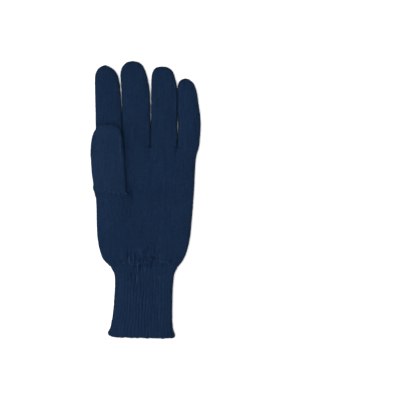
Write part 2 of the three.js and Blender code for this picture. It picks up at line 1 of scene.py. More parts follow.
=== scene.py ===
"""Navy knitted glove liner, lying palm up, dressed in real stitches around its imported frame.

Every piece of the glove is a knitted tube. Its smooth skin is read from the cross sections
of the CAD node that it replaces, wales are laid out round it and courses along it, and each
stitch is raised on it as two slanting legs of yarn. Lengths are in metres.
"""

import logging
import math
from dataclasses import dataclass
from enum import Enum

import bmesh
import bpy
import numpy as np
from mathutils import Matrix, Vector


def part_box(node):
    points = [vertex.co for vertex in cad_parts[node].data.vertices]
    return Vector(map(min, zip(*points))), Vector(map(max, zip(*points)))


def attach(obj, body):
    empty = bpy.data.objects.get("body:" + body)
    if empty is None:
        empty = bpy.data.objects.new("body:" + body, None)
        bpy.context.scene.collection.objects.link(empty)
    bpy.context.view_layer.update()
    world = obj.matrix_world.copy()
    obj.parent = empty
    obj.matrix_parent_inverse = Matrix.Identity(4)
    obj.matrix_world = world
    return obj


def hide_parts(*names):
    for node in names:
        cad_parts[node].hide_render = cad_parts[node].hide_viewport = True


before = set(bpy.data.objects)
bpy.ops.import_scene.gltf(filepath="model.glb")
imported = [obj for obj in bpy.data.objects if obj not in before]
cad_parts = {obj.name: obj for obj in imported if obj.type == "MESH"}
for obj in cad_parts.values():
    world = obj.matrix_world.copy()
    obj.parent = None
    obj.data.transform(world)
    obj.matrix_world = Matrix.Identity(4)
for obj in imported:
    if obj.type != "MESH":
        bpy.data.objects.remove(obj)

LOG = logging.getLogger("glove")
MM = 0.001
SEED = 20
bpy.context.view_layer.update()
PHOTO_PIXEL = 0.9567 * MM
PHOTO_PIXELS = 400
PHOTO_MIDDLE_X = 145.8
PHOTO_MIDDLE_Y = 199.7

Span = tuple[float, float]
Run = tuple[float, int, float]


def photo_point(column: float, row: float) -> tuple[float, float]:
    """X and Y, in metres, of a place in pixels from the photograph's left and top edges."""
    return (column - PHOTO_MIDDLE_X) * PHOTO_PIXEL, (PHOTO_MIDDLE_Y - row) * PHOTO_PIXEL


@dataclass(frozen=True)
class StitchForm:
    """Relief of one wale, or of one rib and the valley beside it.

    Places run across the wale from 0 to 1. Each row of heights and shifts is one mesh row
    of the stitch, from the fingertip's side to the cuff's. Heights are shares of the depth.
    """

    places: tuple[float, ...]
    heights: tuple[tuple[float, ...], ...]
    shifts: tuple[tuple[float, ...], ...]
    depth: float

    @property
    def columns(self) -> int:
        """Mesh columns to one wale."""
        return len(self.places)

    @property
    def rows(self) -> int:
        """Mesh rows to one course."""
        return len(self.heights)

    @property
    def first(self) -> int:
        """Row of the stitch at which a tube starts and ends, on the crest of its legs."""
        return self.rows // 2


class Knit(Enum):
    """How a tube is knitted."""

    FINE_JERSEY = StitchForm(
        places=(0.0, 0.17, 0.33, 0.5, 0.67, 0.83),
        heights=(
            (0.02, 0.50, 0.78, 0.52, 0.78, 0.50),
            (0.02, 0.76, 0.98, 0.44, 0.98, 0.76),
            (0.04, 0.98, 1.00, 0.28, 1.00, 0.98),
            (0.06, 1.00, 0.78, 0.16, 0.78, 1.00),
        ),
        shifts=(
            (0.0, 0.06, 0.07, 0.0, -0.07, -0.06),
            (0.0, 0.02, 0.02, 0.0, -0.02, -0.02),
            (0.0, -0.02, -0.03, 0.0, 0.03, 0.02),
            (0.0, -0.05, -0.06, 0.0, 0.06, 0.05),
        ),
        depth=0.50 * MM,
    )

    PLAIN_JERSEY = StitchForm(
        places=FINE_JERSEY.places,
        heights=(
            (0.02, 0.54, 0.82, 0.52, 0.82, 0.54),
            (0.04, 0.90, 1.00, 0.36, 1.00, 0.90),
            (0.06, 1.00, 0.84, 0.18, 0.84, 1.00),
        ),
        shifts=(
            (0.0, 0.06, 0.07, 0.0, -0.07, -0.06),
            (0.0, 0.00, 0.00, 0.0, 0.00, 0.00),
            (0.0, -0.05, -0.06, 0.0, 0.06, 0.05),
        ),
        depth=0.50 * MM,
    )

    RIB = StitchForm(
        places=(0.0, 0.11, 0.22, 0.33, 0.44, 0.55, 0.66, 0.78, 0.90),
        heights=(
            (0.45, 0.70, 0.86, 0.78, 0.86, 0.70, 0.45, 0.00, 0.10),
            (0.48, 0.88, 0.98, 0.74, 0.98, 0.88, 0.48, 0.06, 0.16),
            (0.50, 0.98, 1.00, 0.66, 1.00, 0.98, 0.50, 0.16, 0.20),
            (0.52, 1.00, 0.88, 0.60, 0.88, 1.00, 0.52, 0.06, 0.14),
        ),
        shifts=(
            (0.0, 0.03, 0.04, 0.0, -0.04, -0.03, 0.0, 0.0, 0.0),
            (0.0, 0.01, 0.01, 0.0, -0.01, -0.01, 0.0, 0.0, 0.0),
            (0.0, -0.01, -0.02, 0.0, 0.02, 0.01, 0.0, 0.0, 0.0),
            (0.0, -0.03, -0.03, 0.0, 0.03, 0.03, 0.0, 0.0, 0.0),
        ),
        depth=0.60 * MM,
    )


class Outline:
    """Outer outline of a body's cross section, walked from its left edge.

    It runs along the sole to the right edge and back over the crown.
    """

    def __init__(self, points: np.ndarray, edge_ceiling: float = math.inf) -> None:
        """Starts the outline at its left edge.

        Args:
            points: X and Z of the outline's corners, anticlockwise looking along +Y.
            edge_ceiling: Greatest Z at which the left and right edges are looked for.
        """
        low = points[:, 1] < edge_ceiling
        left = int(np.argmin(np.where(low, points[:, 0], np.inf)))
        points = np.roll(points, -left, axis=0)
        low = points[:, 1] < edge_ceiling
        right = int(np.argmax(np.where(low, points[:, 0], -np.inf)))
        self.points = np.vstack([points, points[:1]])
        steps = np.linalg.norm(np.diff(self.points, axis=0), axis=1)
        self.arc = np.concatenate([[0.0], np.cumsum(steps)])
        self.right = float(self.arc[right])
        self.length = float(self.arc[-1])
        self.left_x = float(self.points[0, 0])
        self.right_x = float(self.points[right, 0])

    def at(self, arc: np.ndarray) -> np.ndarray:
        """X and Z at distances along the outline."""
        return np.stack([np.interp(arc, self.arc, axis) for axis in self.points.T], axis=-1)

    def x_at(self, share: float) -> float:
        """X at a share of the width from the left edge."""
        return self.left_x + share * (self.right_x - self.left_x)

    def crown_arc(self, x: float) -> float:
        """Distance along the outline where the crown first comes as far left as x."""
        return self._passing(self.arc >= self.right, x, -1.0)

    def sole_arc(self, x: float) -> float:
        """Distance along the outline where the sole first comes as far right as x."""
        return self._passing(self.arc <= self.right, x, 1.0)

    def _passing(self, face: np.ndarray, x: float, heading: float) -> float:
        """Distance at which one face first passes x.

        Args:
            face: Which of the outline's corners are on the face.
            x: The place to pass.
            heading: 1 when the face is walked towards +X, -1 towards -X.

        Returns:
            The distance along the outline.
        """
        arcs = self.arc[face]
        gone = heading * (self.points[face, 0] - x)
        beyond = np.nonzero(gone >= 0.0)[0]
        first = int(beyond[0]) if len(beyond) else len(arcs) - 1
        if first == 0:
            return float(arcs[0])
        share = -gone[first - 1] / (gone[first] - gone[first - 1])
        return float(arcs[first - 1] + share * (arcs[first] - arcs[first - 1]))


def numbers(items: object, key: str, width: int = 1, kind: type = float) -> np.ndarray:
    """Reads a property of every item in a collection of a mesh.

    Args:
        items: The collection.
        key: The property's name.
        width: How many numbers it has.
        kind: Their type.

    Returns:
        A row of numbers for each item.
    """
    values = np.zeros(len(items) * width, dtype=kind)
    items.foreach_get(key, values)
    return values.reshape(-1, width)


def node_triangles(node: str) -> np.ndarray:
    """Corner points of a CAD node's triangles.

    Args:
        node: The node's name.

    Returns:
        Points by triangle and corner.
    """
    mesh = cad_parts[node].data
    mesh.calc_loop_triangles()
    return numbers(mesh.vertices, "co", 3)[numbers(mesh.loop_triangles, "vertices", 3, np.int64)]


def cut_segments(triangles: np.ndarray, y: float) -> list[tuple[tuple, tuple]]:
    """Pieces of line where a plane across the hand cuts a body's triangles.

    Args:
        triangles: The body's triangles.
        y: The plane's place along Y.

    Returns:
        Pairs of X, Z points, rounded so that neighbours share theirs.
    """
    side = triangles[:, :, 1] - y
    cut = (side.min(axis=1) < 0.0) & (side.max(axis=1) >= 0.0)
    segments = []
    for corners in triangles[cut]:
        ends = []
        for first, second in ((0, 1), (1, 2), (2, 0)):
            start, stop = sorted((tuple(corners[first]), tuple(corners[second])))
            if (start[1] < y) != (stop[1] < y):
                share = (y - start[1]) / (stop[1] - start[1])
                ends.append((
                    round(start[0] + share * (stop[0] - start[0]), 9),
                    round(start[2] + share * (stop[2] - start[2]), 9),
                ))
        if len(ends) == 2 and ends[0] != ends[1]:
            segments.append((ends[0], ends[1]))
    return segments


def outline_points(triangles: np.ndarray, y: float) -> np.ndarray:
    """Outer outline of a body where a plane across the hand cuts it.

    Args:
        triangles: The body's triangles.
        y: The plane's place along Y.

    Returns:
        X and Z of its corners, anticlockwise looking along +Y.
    """
    links: dict[tuple, list[tuple]] = {}
    for start, stop in cut_segments(triangles, y):
        links.setdefault(start, []).append(stop)
        links.setdefault(stop, []).append(start)
    best = np.zeros((0, 2))
    best_area = 0.0
    unused = set(links)
    while unused:
        point = min(unused)
        loop = []
        while point in unused:
            unused.remove(point)
            loop.append(point)
            point = next((other for other in links[point] if other in unused), point)
        ring = np.array(loop)
        after = np.roll(ring, -1, axis=0)
        area = 0.5 * float(np.sum(ring[:, 0] * after[:, 1] - after[:, 0] * ring[:, 1]))
        if abs(area) > abs(best_area):
            best_area = area
            best = ring if area > 0.0 else ring[::-1]
    return best


def blurred(grid: np.ndarray, sigma: float, axis: int, closed: bool) -> np.ndarray:
    """Grid softened along one axis with a bell curve.

    Args:
        grid: Values to soften.
        sigma: Width of the bell curve in grid steps.
        axis: The axis to soften along.
        closed: Whether the axis runs round in a ring.

    Returns:
        The softened grid.
    """
    reach = math.ceil(3.0 * sigma)
    weights = np.exp(-0.5 * (np.arange(-reach, reach + 1) / sigma) ** 2)
    pads = [(0, 0)] * grid.ndim
    pads[axis] = (reach, reach)
    padded = np.pad(grid, pads, mode="wrap" if closed else "edge")
    windows = np.lib.stride_tricks.sliding_window_view(padded, len(weights), axis)
    return windows @ (weights / weights.sum())


def softened(grid: np.ndarray, sigma: float, axis: int, closed: bool) -> np.ndarray:
    """Grid softened along one axis, with most of its shrinking put back."""
    once = blurred(grid, sigma, axis, closed)
    return once + (once - blurred(once, sigma, axis, closed))


def smooth_step(value: np.ndarray | float, start: float, stop: float) -> np.ndarray:
    """Rises softly from 0 at start to 1 at stop."""
    share = np.clip((np.asarray(value, dtype=float) - start) / (stop - start), 0.0, 1.0)
    return share * share * (3.0 - 2.0 * share)


def bell(value: np.ndarray, middle: float, width: float) -> np.ndarray:
    """Bell curve of height 1 about a middle."""
    return np.exp(-(((value - middle) / width) ** 2))


@dataclass(frozen=True)
class Mark:
    """A small place on the crown where yarn lies higher or deeper, lighter or darker.

    Its place is given in pixels of the photograph and its half widths in millimetres.
    """

    column: float
    row: float
    wide: float
    tall: float
    lift: float
    tone: float


Spots = tuple[Mark, ...]

MARK_REACH = 3.0 * MM
MARKED_RISE = (3.5 * MM, 5.5 * MM)
# Lift and tone of a hole and of a loop: the hole's darker tone is painted shade, the loop's
# lighter tone a painted highlight.
PIT = (0.65, 0.9, -0.70, -0.55)
LOOP = (0.70, 0.8, 0.25, 0.68)
DASH_WIDE = 0.5
DASH_TALL = (1.6, 5.0)
DASH_LIFT = 0.12
DASH_STRENGTH = (0.4, 1.0)


def marked(base: np.ndarray, marks: Spots) -> tuple[np.ndarray, np.ndarray]:
    """Lift and tone that a list of marks gives to points of a skin.

    Args:
        base: The points.
        marks: The marks.

    Returns:
        Lift in metres and tone as a share, for each point.
    """
    lift = np.zeros(base.shape[:2])
    tone = np.zeros(base.shape[:2])
    crown = smooth_step(base[..., 2], *MARKED_RISE)
    west, south = base[..., :2].min(axis=(0, 1))
    east, north = base[..., :2].max(axis=(0, 1))
    for mark in marks:
        x, y = photo_point(mark.column, mark.row)
        spread = MARK_REACH * max(mark.wide, mark.tall)
        if not (west - spread < x < east + spread and south - spread < y < north + spread):
            continue
        across = (base[..., 0] - x) / (mark.wide * MM)
        along = (base[..., 1] - y) / (mark.tall * MM)
        near = crown * np.exp(-across * across - along * along)
        lift += mark.lift * MM * near
        tone += mark.tone * near
    return lift, tone


def pits_and_loops(pits: tuple[Span, ...], loops: tuple[Span, ...]) -> Spots:
    """Marks of holes between stitches and of loops that stand out beside them, the holes painted
    darker as painted shade and the loops painted lighter as painted highlights.

    Args:
        pits: Columns and rows of the holes.
        loops: Columns and rows of the loops.

    Returns:
        One mark for each.
    """
    holes = [Mark(column, row, *PIT) for column, row in pits]
    return tuple(holes + [Mark(column, row, *LOOP) for column, row in loops])


SLUBS = (
    Mark(154.0, 166.0, 2.4, 0.55, 0.12, 0.35),
    Mark(146.5, 170.5, 2.6, 0.50, 0.10, 0.25),
    Mark(145.5, 168.6, 3.0, 0.60, -0.10, -0.25),
    Mark(158.0, 186.0, 2.6, 0.55, 0.12, 0.35),
    Mark(139.0, 191.0, 2.4, 0.60, -0.12, -0.30),
    Mark(179.0, 198.0, 2.8, 0.60, 0.10, 0.25),
    Mark(129.5, 178.5, 0.5, 3.4, 0.10, 0.40),
    Mark(134.5, 190.5, 0.5, 2.6, 0.10, 0.30),
    Mark(169.0, 170.0, 0.5, 2.2, -0.12, -0.35),
    Mark(162.0, 197.0, 0.5, 2.8, 0.08, 0.25),
    Mark(137.5, 153.5, 0.5, 3.0, 0.08, 0.28),
    Mark(154.0, 151.0, 0.5, 2.4, -0.10, -0.25),
    Mark(170.0, 151.0, 0.5, 2.0, 0.10, 0.35),
)

# Holes and creases at the finger crotches, painted darker as painted shade in them, and the small
# bumps beside them painted lighter as painted highlight.
CROTCHES = (
    Mark(150.0, 146.4, 1.2, 1.2, -1.1, -0.60),
    Mark(150.0, 149.3, 1.1, 0.8, 0.30, 0.45),
    Mark(177.0, 142.5, 0.9, 2.6, -0.9, -0.50),
    Mark(180.0, 148.0, 2.2, 0.8, -0.35, -0.30),
    Mark(178.5, 150.0, 2.0, 0.7, 0.25, 0.30),
)

# Pits, loops, ridges and furrows of the gathers above the cuff: raised yarn painted lighter as
# painted highlight, sunk yarn painted darker as painted shade.
GATHERS = pits_and_loops(
    pits=(
        (131.0, 257.8), (135.3, 266.0), (138.8, 266.5), (143.5, 260.4), (148.3, 260.4),
        (153.4, 257.2), (155.2, 258.6), (159.4, 258.2), (169.4, 260.4), (171.7, 260.4),
        (114.9, 261.8), (121.9, 261.2), (152.0, 265.5), (162.5, 264.4),
    ),
    loops=(
        (129.4, 258.0), (137.5, 264.2), (139.4, 262.8), (141.3, 261.6), (145.0, 262.4),
        (147.4, 262.2), (161.2, 261.9), (163.6, 261.9), (169.2, 264.4), (171.0, 266.4),
        (133.5, 261.5), (151.5, 259.8), (166.5, 262.4), (174.0, 266.0), (123.0, 263.2),
    ),
) + (
    Mark(137.8, 249.8, 2.2, 0.6, 0.15, 0.35),
    Mark(146.0, 256.8, 2.0, 0.5, -0.30, -0.35),
    Mark(154.0, 257.8, 1.7, 1.1, -0.60, -0.55),
    Mark(139.7, 253.5, 0.8, 3.0, 0.15, 0.50),
    Mark(148.0, 254.0, 1.0, 2.6, 0.15, 0.45),
    Mark(133.2, 258.0, 0.5, 4.0, 0.12, 0.40),
    Mark(129.0, 261.5, 0.5, 3.0, 0.12, 0.40),
    Mark(137.4, 267.0, 0.5, 3.0, 0.12, 0.45),
    Mark(134.8, 258.5, 0.6, 4.5, -0.25, -0.50),
    Mark(144.0, 252.5, 0.7, 3.0, -0.20, -0.40),
    Mark(150.5, 254.5, 0.6, 3.0, -0.20, -0.40),
    Mark(140.3, 266.0, 0.6, 5.0, -0.25, -0.45),
    Mark(144.8, 265.5, 0.6, 4.0, -0.20, -0.40),
)

# Painted light on the thumb: its tip and left side painted lighter where light falls on them, and
# a raised wale along its right edge painted lighter as a highlight.
THUMB_PAINTED_LIGHT = (
    Mark(105.0, 131.0, 10.0, 7.0, 0.0, 0.20),
    Mark(100.0, 172.0, 8.0, 16.0, 0.0, 0.10),
    Mark(120.2, 150.0, 0.6, 9.0, 0.10, 0.28),
    Mark(122.4, 170.0, 0.6, 9.0, 0.10, 0.28),
)

# Painted light and shade: broad patches of the lower palm and cuff painted lighter or darker as
# light falls on them, and a dent at the hem's right corner painted darker as shade.
PAINTED_LIGHT_AND_SHADE = (
    Mark(106.0, 218.0, 14.0, 32.0, 0.0, 0.22),
    Mark(128.0, 203.0, 8.0, 13.0, 0.0, 0.13),
    Mark(121.0, 300.0, 7.0, 40.0, 0.0, 0.10),
    Mark(122.0, 254.0, 7.0, 7.0, 0.0, 0.14),
    Mark(163.0, 282.0, 7.0, 20.0, 0.0, 0.08),
    Mark(148.0, 284.0, 8.0, 30.0, 0.0, -0.10),
    Mark(171.2, 326.0, 0.8, 8.0, -0.35, -0.45),
)


def dashes(seed: int, count: int, columns: Span, rows: Span, tone: float) -> Spots:
    """Short runs of a wale where its yarn shows lighter or darker than its neighbours.

    Args:
        seed: Seed of the random numbers.
        count: Dashes to scatter.
        columns: Columns of the photograph between which they lie.
        rows: Rows between which they lie.
        tone: Their greatest tone, half of them being darker.

    Returns:
        One mark for each dash.
    """
    random = np.random.default_rng(seed)
    marks = []
    for number in range(count):
        column, row = random.uniform(*columns), random.uniform(*rows)
        tall = random.uniform(*DASH_TALL)
        strength = random.uniform(*DASH_STRENGTH) * (1.0 if number % 2 else -1.0)
        marks.append(Mark(column, row, DASH_WIDE, tall, DASH_LIFT * strength, tone * strength))
    return tuple(marks)


WALE_DASHES = dashes(SEED, 150, (96.0, 197.0), (72.0, 250.0), 0.26)
GATHER_DASHES = dashes(SEED + 1, 64, (127.0, 160.0), (249.0, 284.0), 0.60)
RIB_DASHES = dashes(SEED + 2, 56, (127.0, 162.0), (268.0, 328.0), 0.24)

# Pits and loops where the thumb is joined on, the pits painted darker as painted shade, the loops
# lighter as painted highlight.
THUMB_JOIN = pits_and_loops(
    pits=((112.0, 194.3), (116.8, 195.4), (121.0, 194.6), (126.3, 190.6), (122.5, 198.0)),
    loops=((114.0, 192.6), (118.4, 193.6), (110.0, 191.8), (125.4, 192.8), (122.6, 196.2)),
)

FEW_WALES = 4
SKIN_STEPS = 4
TIP_SECTIONS = (0.12, 0.3, 0.55, 0.9, 1.3, 1.8, 2.4, 3.1, 3.9, 4.8, 5.8, 6.9, 8.1)
CROWDED = (0.25 * MM, 1.5 * MM)
CROWN_RISE = (3.0 * MM, 6.0 * MM)
GATHER_MIDDLE = -1.5 * MM


class Skin:
    """Smooth surface of a knitted tube, on a grid of cross sections and quarter wales."""

    def __init__(self, places: np.ndarray, stations: np.ndarray) -> None:
        """Keeps the grid.

        Args:
            places: Y of each cross section, from the fingertip's side down.
            stations: X and Z of each section's points, four to a wale.
        """
        self.places = places
        height = np.broadcast_to(places[:, None, None], stations.shape[:2] + (1,))
        self.grid = np.concatenate([stations[..., :1], height, stations[..., 1:]], axis=2)
        steps = np.linalg.norm(np.diff(self.grid, axis=0), axis=2).mean(axis=1)
        self.travel = np.concatenate([[0.0], np.cumsum(steps)])

    def points(self, row: np.ndarray, wale: np.ndarray) -> np.ndarray:
        """Points of the surface.

        Args:
            row: Places between the cross sections, counted in sections.
            wale: Places round the tube, counted in wales.

        Returns:
            An array of points, shaped as row and wale are.
        """
        columns = self.grid.shape[1]
        row = np.clip(row, 0.0, len(self.places) - 1.0)
        above = np.minimum(row.astype(int), len(self.places) - 2)
        down = (row - above)[..., None]
        around = np.mod(wale * SKIN_STEPS, columns)
        near = around.astype(int) % columns
        after = (near + 1) % columns
        share = (around - np.floor(around))[..., None]
        upper = self.grid[above, near] * (1.0 - share) + self.grid[above, after] * share
        below = above + 1
        lower = self.grid[below, near] * (1.0 - share) + self.grid[below, after] * share
        return upper * (1.0 - down) + lower * down


def outward(points: np.ndarray) -> np.ndarray:
    """Unit normals of a tube's grid of points, facing out.

    Args:
        points: Points by row, from the fingertip's side down, and by column round the tube.

    Returns:
        A unit vector for each point.
    """
    around = np.roll(points, -1, axis=1) - np.roll(points, 1, axis=1)
    along = np.gradient(points, axis=0)
    normal = np.cross(around, along)
    length = np.linalg.norm(normal, axis=2, keepdims=True)
    return normal / np.maximum(length, 1e-12)


def across_tube(base: np.ndarray) -> np.ndarray:
    """Place of each point between its tube's left and right edges.

    Args:
        base: Points by row and by column round the tube.

    Returns:
        A number for each point, from -1 to 1.
    """
    x = base[..., 0]
    right, left = x.max(axis=1)[:, None], x.min(axis=1)[:, None]
    half = np.maximum(0.5 * (right - left), 0.1 * MM)
    return (x - 0.5 * (right + left)) / half


def lay_wales(runs: list[Run]) -> tuple[list[float], list[float]]:
    """Lays wales along an outline, run by run.

    Args:
        runs: Where each run ends along the outline, its wales, and the width of its outer
            wales in widths of the inner ones.

    Returns:
        Distances along the outline, and the wale at each.
    """
    arcs, wales = [0.0], [0.0]
    for stop, count, side in runs:
        start, first = arcs[-1], wales[-1]
        if count > FEW_WALES:
            edge = (stop - start) * side / (count - 2 + 2 * side)
            arcs.extend([start + edge, stop - edge])
            wales.extend([first + 1.0, first + count - 1.0])
        arcs.append(stop)
        wales.append(first + count)
    return arcs, wales


def uneven(x: np.ndarray) -> np.ndarray:
    """How far the pleats of the gathers stray sideways, so that no two are equally wide."""
    return 0.8 * MM * np.sin(x / (3.7 * MM))


@dataclass
class Relief:
    """What stands out from, or is pressed into, a tube's skin, and how far it fades out."""

    height: np.ndarray
    tone: np.ndarray
    fade: np.ndarray


@dataclass
class KnitTube:
    """A knitted tube that replaces one CAD node.

    front and back are the wales over its crown and along its sole. spots are the places
    where its yarn lies or shows otherwise.
    """

    name: str
    node: str
    front: tuple[int, ...]
    back: tuple[int, ...]
    knit: Knit = Knit.FINE_JERSEY
    seed: int = SEED
    slot: str = "jersey_knit"
    spots: Spots = ()
    course: float = 1.55 * MM
    wall: float = 1.5 * MM
    side_wale: float = 1.5
    closed_tip: bool = False
    hollow_rows: int = 6
    start_gap: float = 0.0
    stop_gap: float = 0.0
    edge_ceiling: float = math.inf
    inner_middle: float = 4.2 * MM
    section_step: float = 1.6 * MM
    inset: float = 0.05 * MM
    soften: float = 1.0
    sink: float = 0.6
    mottle: float = 0.07
    unevenness: float = 0.09
    stray: float = 0.05
    left_bulge: float = 0.0
    laid: Skin | None = None

    @property
    def form(self) -> StitchForm:
        """Form of its stitches."""
        return self.knit.value

    @property
    def wales(self) -> int:
        """Wales round the whole tube."""
        return sum(self.front) + sum(self.back)

    def section_places(self) -> np.ndarray:
        """Chooses the cross sections that the skin is read from, closest near a tip.

        Returns:
            Y of each, from the fingertip's side down.
        """
        low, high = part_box(self.node)
        if not self.closed_tip:
            count = int(round((high.y - low.y) / self.section_step))
            return np.linspace(high.y - self.inset, low.y + self.inset, count)
        near = np.array(TIP_SECTIONS) * MM
        last = high.y - low.y - self.inset
        rest = np.arange(near[-1] + 1.5 * MM, last, self.section_step)
        return high.y - np.concatenate([near, rest, [last]])

    def outline(self, triangles: np.ndarray, y: float) -> Outline:
        """Outline of the node's cross section at a place along Y."""
        return Outline(outline_points(triangles, y), self.edge_ceiling)

    def runs(self, outline: Outline, y: float) -> list[Run]:
        """Runs of wales on a cross section, along the sole and back over the crown.

        Args:
            outline: The section's outline.
            y: The section's place along Y, not used here.

        Returns:
            The runs, as lay_wales takes them.
        """
        back = (outline.right, sum(self.back), self.side_wale)
        return [back, (outline.length, sum(self.front), self.side_wale)]

    def skin(self) -> Skin:
        """Reads the node's cross sections and lays the wales out round them.

        Returns:
            The tube's skin.
        """
        triangles = node_triangles(self.node)
        places = self.section_places()
        wanted = np.arange(self.wales * SKIN_STEPS) / SKIN_STEPS
        rows = []
        for y in places:
            outline = self.outline(triangles, float(y))
            arcs, wales = lay_wales(self.runs(outline, float(y)))
            rows.append(outline.at(np.interp(wanted, wales, arcs)))
        stations = softened(np.array(rows), self.soften * SKIN_STEPS / 2, 1, True)
        stations = self.eased(places, softened(stations, self.soften, 0, False))
        if self.closed_tip:
            pole = np.broadcast_to(stations[0].mean(axis=0), stations[0].shape)
            places = np.concatenate([[places[0] + TIP_SECTIONS[0] * MM], places])
            stations = np.concatenate([pole[None], stations])
        return Skin(self.stretched(places), stations)

    def eased(self, places: np.ndarray, stations: np.ndarray) -> np.ndarray:
        """Softens part of the skin further, where a piece asks for it."""
        return stations

    def stretched(self, places: np.ndarray) -> np.ndarray:
        """Runs an open tube's ends out to meet its neighbours.

        Args:
            places: Y of each cross section.

        Returns:
            The places, with the first and last moved.
        """
        low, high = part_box(self.node)
        places = places.copy()
        if not self.closed_tip:
            places[0] = high.y + self.start_gap
        places[-1] = low.y - self.stop_gap
        return places

    def course_rows(self, skin: Skin) -> np.ndarray:
        """Where the mesh rows lie on the skin.

        Args:
            skin: The tube's skin.

        Returns:
            Places between its sections, counted in sections.
        """
        length = float(skin.travel[-1])
        count = int(round(length / self.course)) * self.form.rows + 1
        wanted = np.linspace(0.0, length, count)
        return np.interp(wanted, skin.travel, np.arange(len(skin.travel)))

    def relief(self, base: np.ndarray, wale: np.ndarray, course: np.ndarray) -> Relief:
        """Height of the stitches over the skin's deepest point.

        Args:
            base: Points of the skin.
            wale: Number of the wale of each column.
            course: Number of the course of each row.

        Returns:
            Heights and tones by row and column.
        """
        form = self.form
        heights = np.array(form.heights)
        rows = (np.arange(len(base)) + form.first) % form.rows
        columns = np.arange(base.shape[1]) % form.columns
        ridge = heights.mean(axis=0)[columns] - heights.mean()
        stitch = heights[rows][:, columns] - ridge * (1.0 - self.strength(base))
        random = np.random.default_rng(self.seed)
        count = int(course.max()) + 1
        swell = random.normal(0.0, self.unevenness, (count, self.wales))
        shade = random.normal(0.0, self.mottle, (count, self.wales))
        swell[[0, -1]] = 0.0
        shade[[0, -1]] = 0.0
        stitch = stitch * (1.0 + swell[np.ix_(course, wale)])
        # Random mottle of the yarn, with the painted light and shade of the marks added.
        tone = 0.5 + shade[np.ix_(course, wale)] + marked(base, self.spots)[1]
        pitch = np.linalg.norm(np.roll(base, -1, axis=1) - base, axis=2) * form.columns
        room = smooth_step(blurred(pitch, 4.0, 1, True), *CROWDED)
        return Relief(height=form.depth * stitch * room, tone=np.clip(tone, 0.0, 1.0), fade=room)

    def strength(self, base: np.ndarray) -> np.ndarray | float:
        """How far the ridges of the wales stand out, 1 being all their depth."""
        return 1.0

    def swell(self, base: np.ndarray) -> np.ndarray:
        """Slow rises and hollows of the cloth, which a tube adds to its stitches."""
        left = smooth_step(-across_tube(base), 0.90, 0.99)
        return marked(base, self.spots)[0] + self.left_bulge * left

    def sway(self, row: np.ndarray, wale: np.ndarray) -> np.ndarray:
        """How far each wale strays sideways.

        Args:
            row: Places along the skin, counted in its sections.
            wale: Places round it, counted in wales.

        Returns:
            The sideways step at each, in wales.
        """
        random = np.random.default_rng(self.seed + 1)
        phase = random.uniform(0.0, 2.0 * math.pi, self.wales + 1)
        number = np.floor(wale).astype(int) % self.wales
        return self.stray * np.sin(row * 0.21 + phase[number])

    def outside(self, skin: Skin) -> tuple[np.ndarray, np.ndarray, np.ndarray]:
        """Points of the knitted outside.

        Args:
            skin: The tube's skin.

        Returns:
            Points, heights of the relief as shares of its depth, and tones.
        """
        form = self.form
        rows = self.course_rows(skin)
        row_of = np.arange(len(rows)) + form.first
        column_of = np.arange(self.wales * form.columns)
        wale_of = column_of // form.columns
        place = wale_of + np.array(form.places)[column_of % form.columns]
        shift = np.array(form.shifts)[row_of % form.rows][:, column_of % form.columns]
        row_grid = np.broadcast_to(rows[:, None], shift.shape)
        stray = self.sway(row_grid, np.broadcast_to(place, shift.shape))
        base = skin.points(row_grid, place[None, :] + shift + stray)
        normal = outward(base)
        if self.closed_tip:
            normal[0] = (0.0, 1.0, 0.0)
        relief = self.relief(base, wale_of, row_of // form.rows)
        lift = relief.height - self.sink * form.depth * relief.fade + self.swell(base)
        points = base + normal * lift[..., None]
        points[..., 2] = np.maximum(points[..., 2], 0.0)
        points[-1, :, 1] = base[-1, :, 1]
        points[0, :, 1] = points[0, :, 1] if self.closed_tip else base[0, :, 1]
        return points, relief.height / form.depth, relief.tone

    def inside(self, skin: Skin) -> np.ndarray:
        """Points of the plain inner face.

        Args:
            skin: The tube's skin.

        Returns:
            Points by row, from the cuff's side up, and by column.
        """
        low, high = skin.grid[..., 2].min(), skin.grid[..., 2].max()
        columns = self.wales * self.form.columns
        wale = np.arange(columns) / self.form.columns
        tip_wall = 4.0 * self.wall
        first = int(np.searchsorted(skin.travel, tip_wall)) if self.closed_tip else 0
        rows = np.linspace(len(skin.places) - 1, first, self.hollow_rows)
        row_grid, wale_grid = np.meshgrid(rows, wale, indexing="ij")
        points = skin.points(row_grid, wale_grid)
        right, left = points[..., 0].max(axis=1), points[..., 0].min(axis=1)
        middle_x, half = 0.5 * (right + left)[:, None], 0.5 * (right - left)[:, None]
        plain = self.edge_ceiling == math.inf
        middle_z = low + (0.5 * (high - low) if plain else self.inner_middle)
        rise = points[..., 2] - middle_z
        kept = np.maximum(np.abs(rise) - self.wall, 0.3 * np.abs(rise))
        points[..., 2] = middle_z + np.sign(rise) * kept
        narrowed = np.maximum(1.0 - self.wall / half, 0.2)
        points[..., 0] = middle_x + (points[..., 0] - middle_x) * narrowed
        return points

    def let_down(self, points: np.ndarray) -> np.ndarray:
        """Moves the finished points, where a piece's end slants."""
        return points

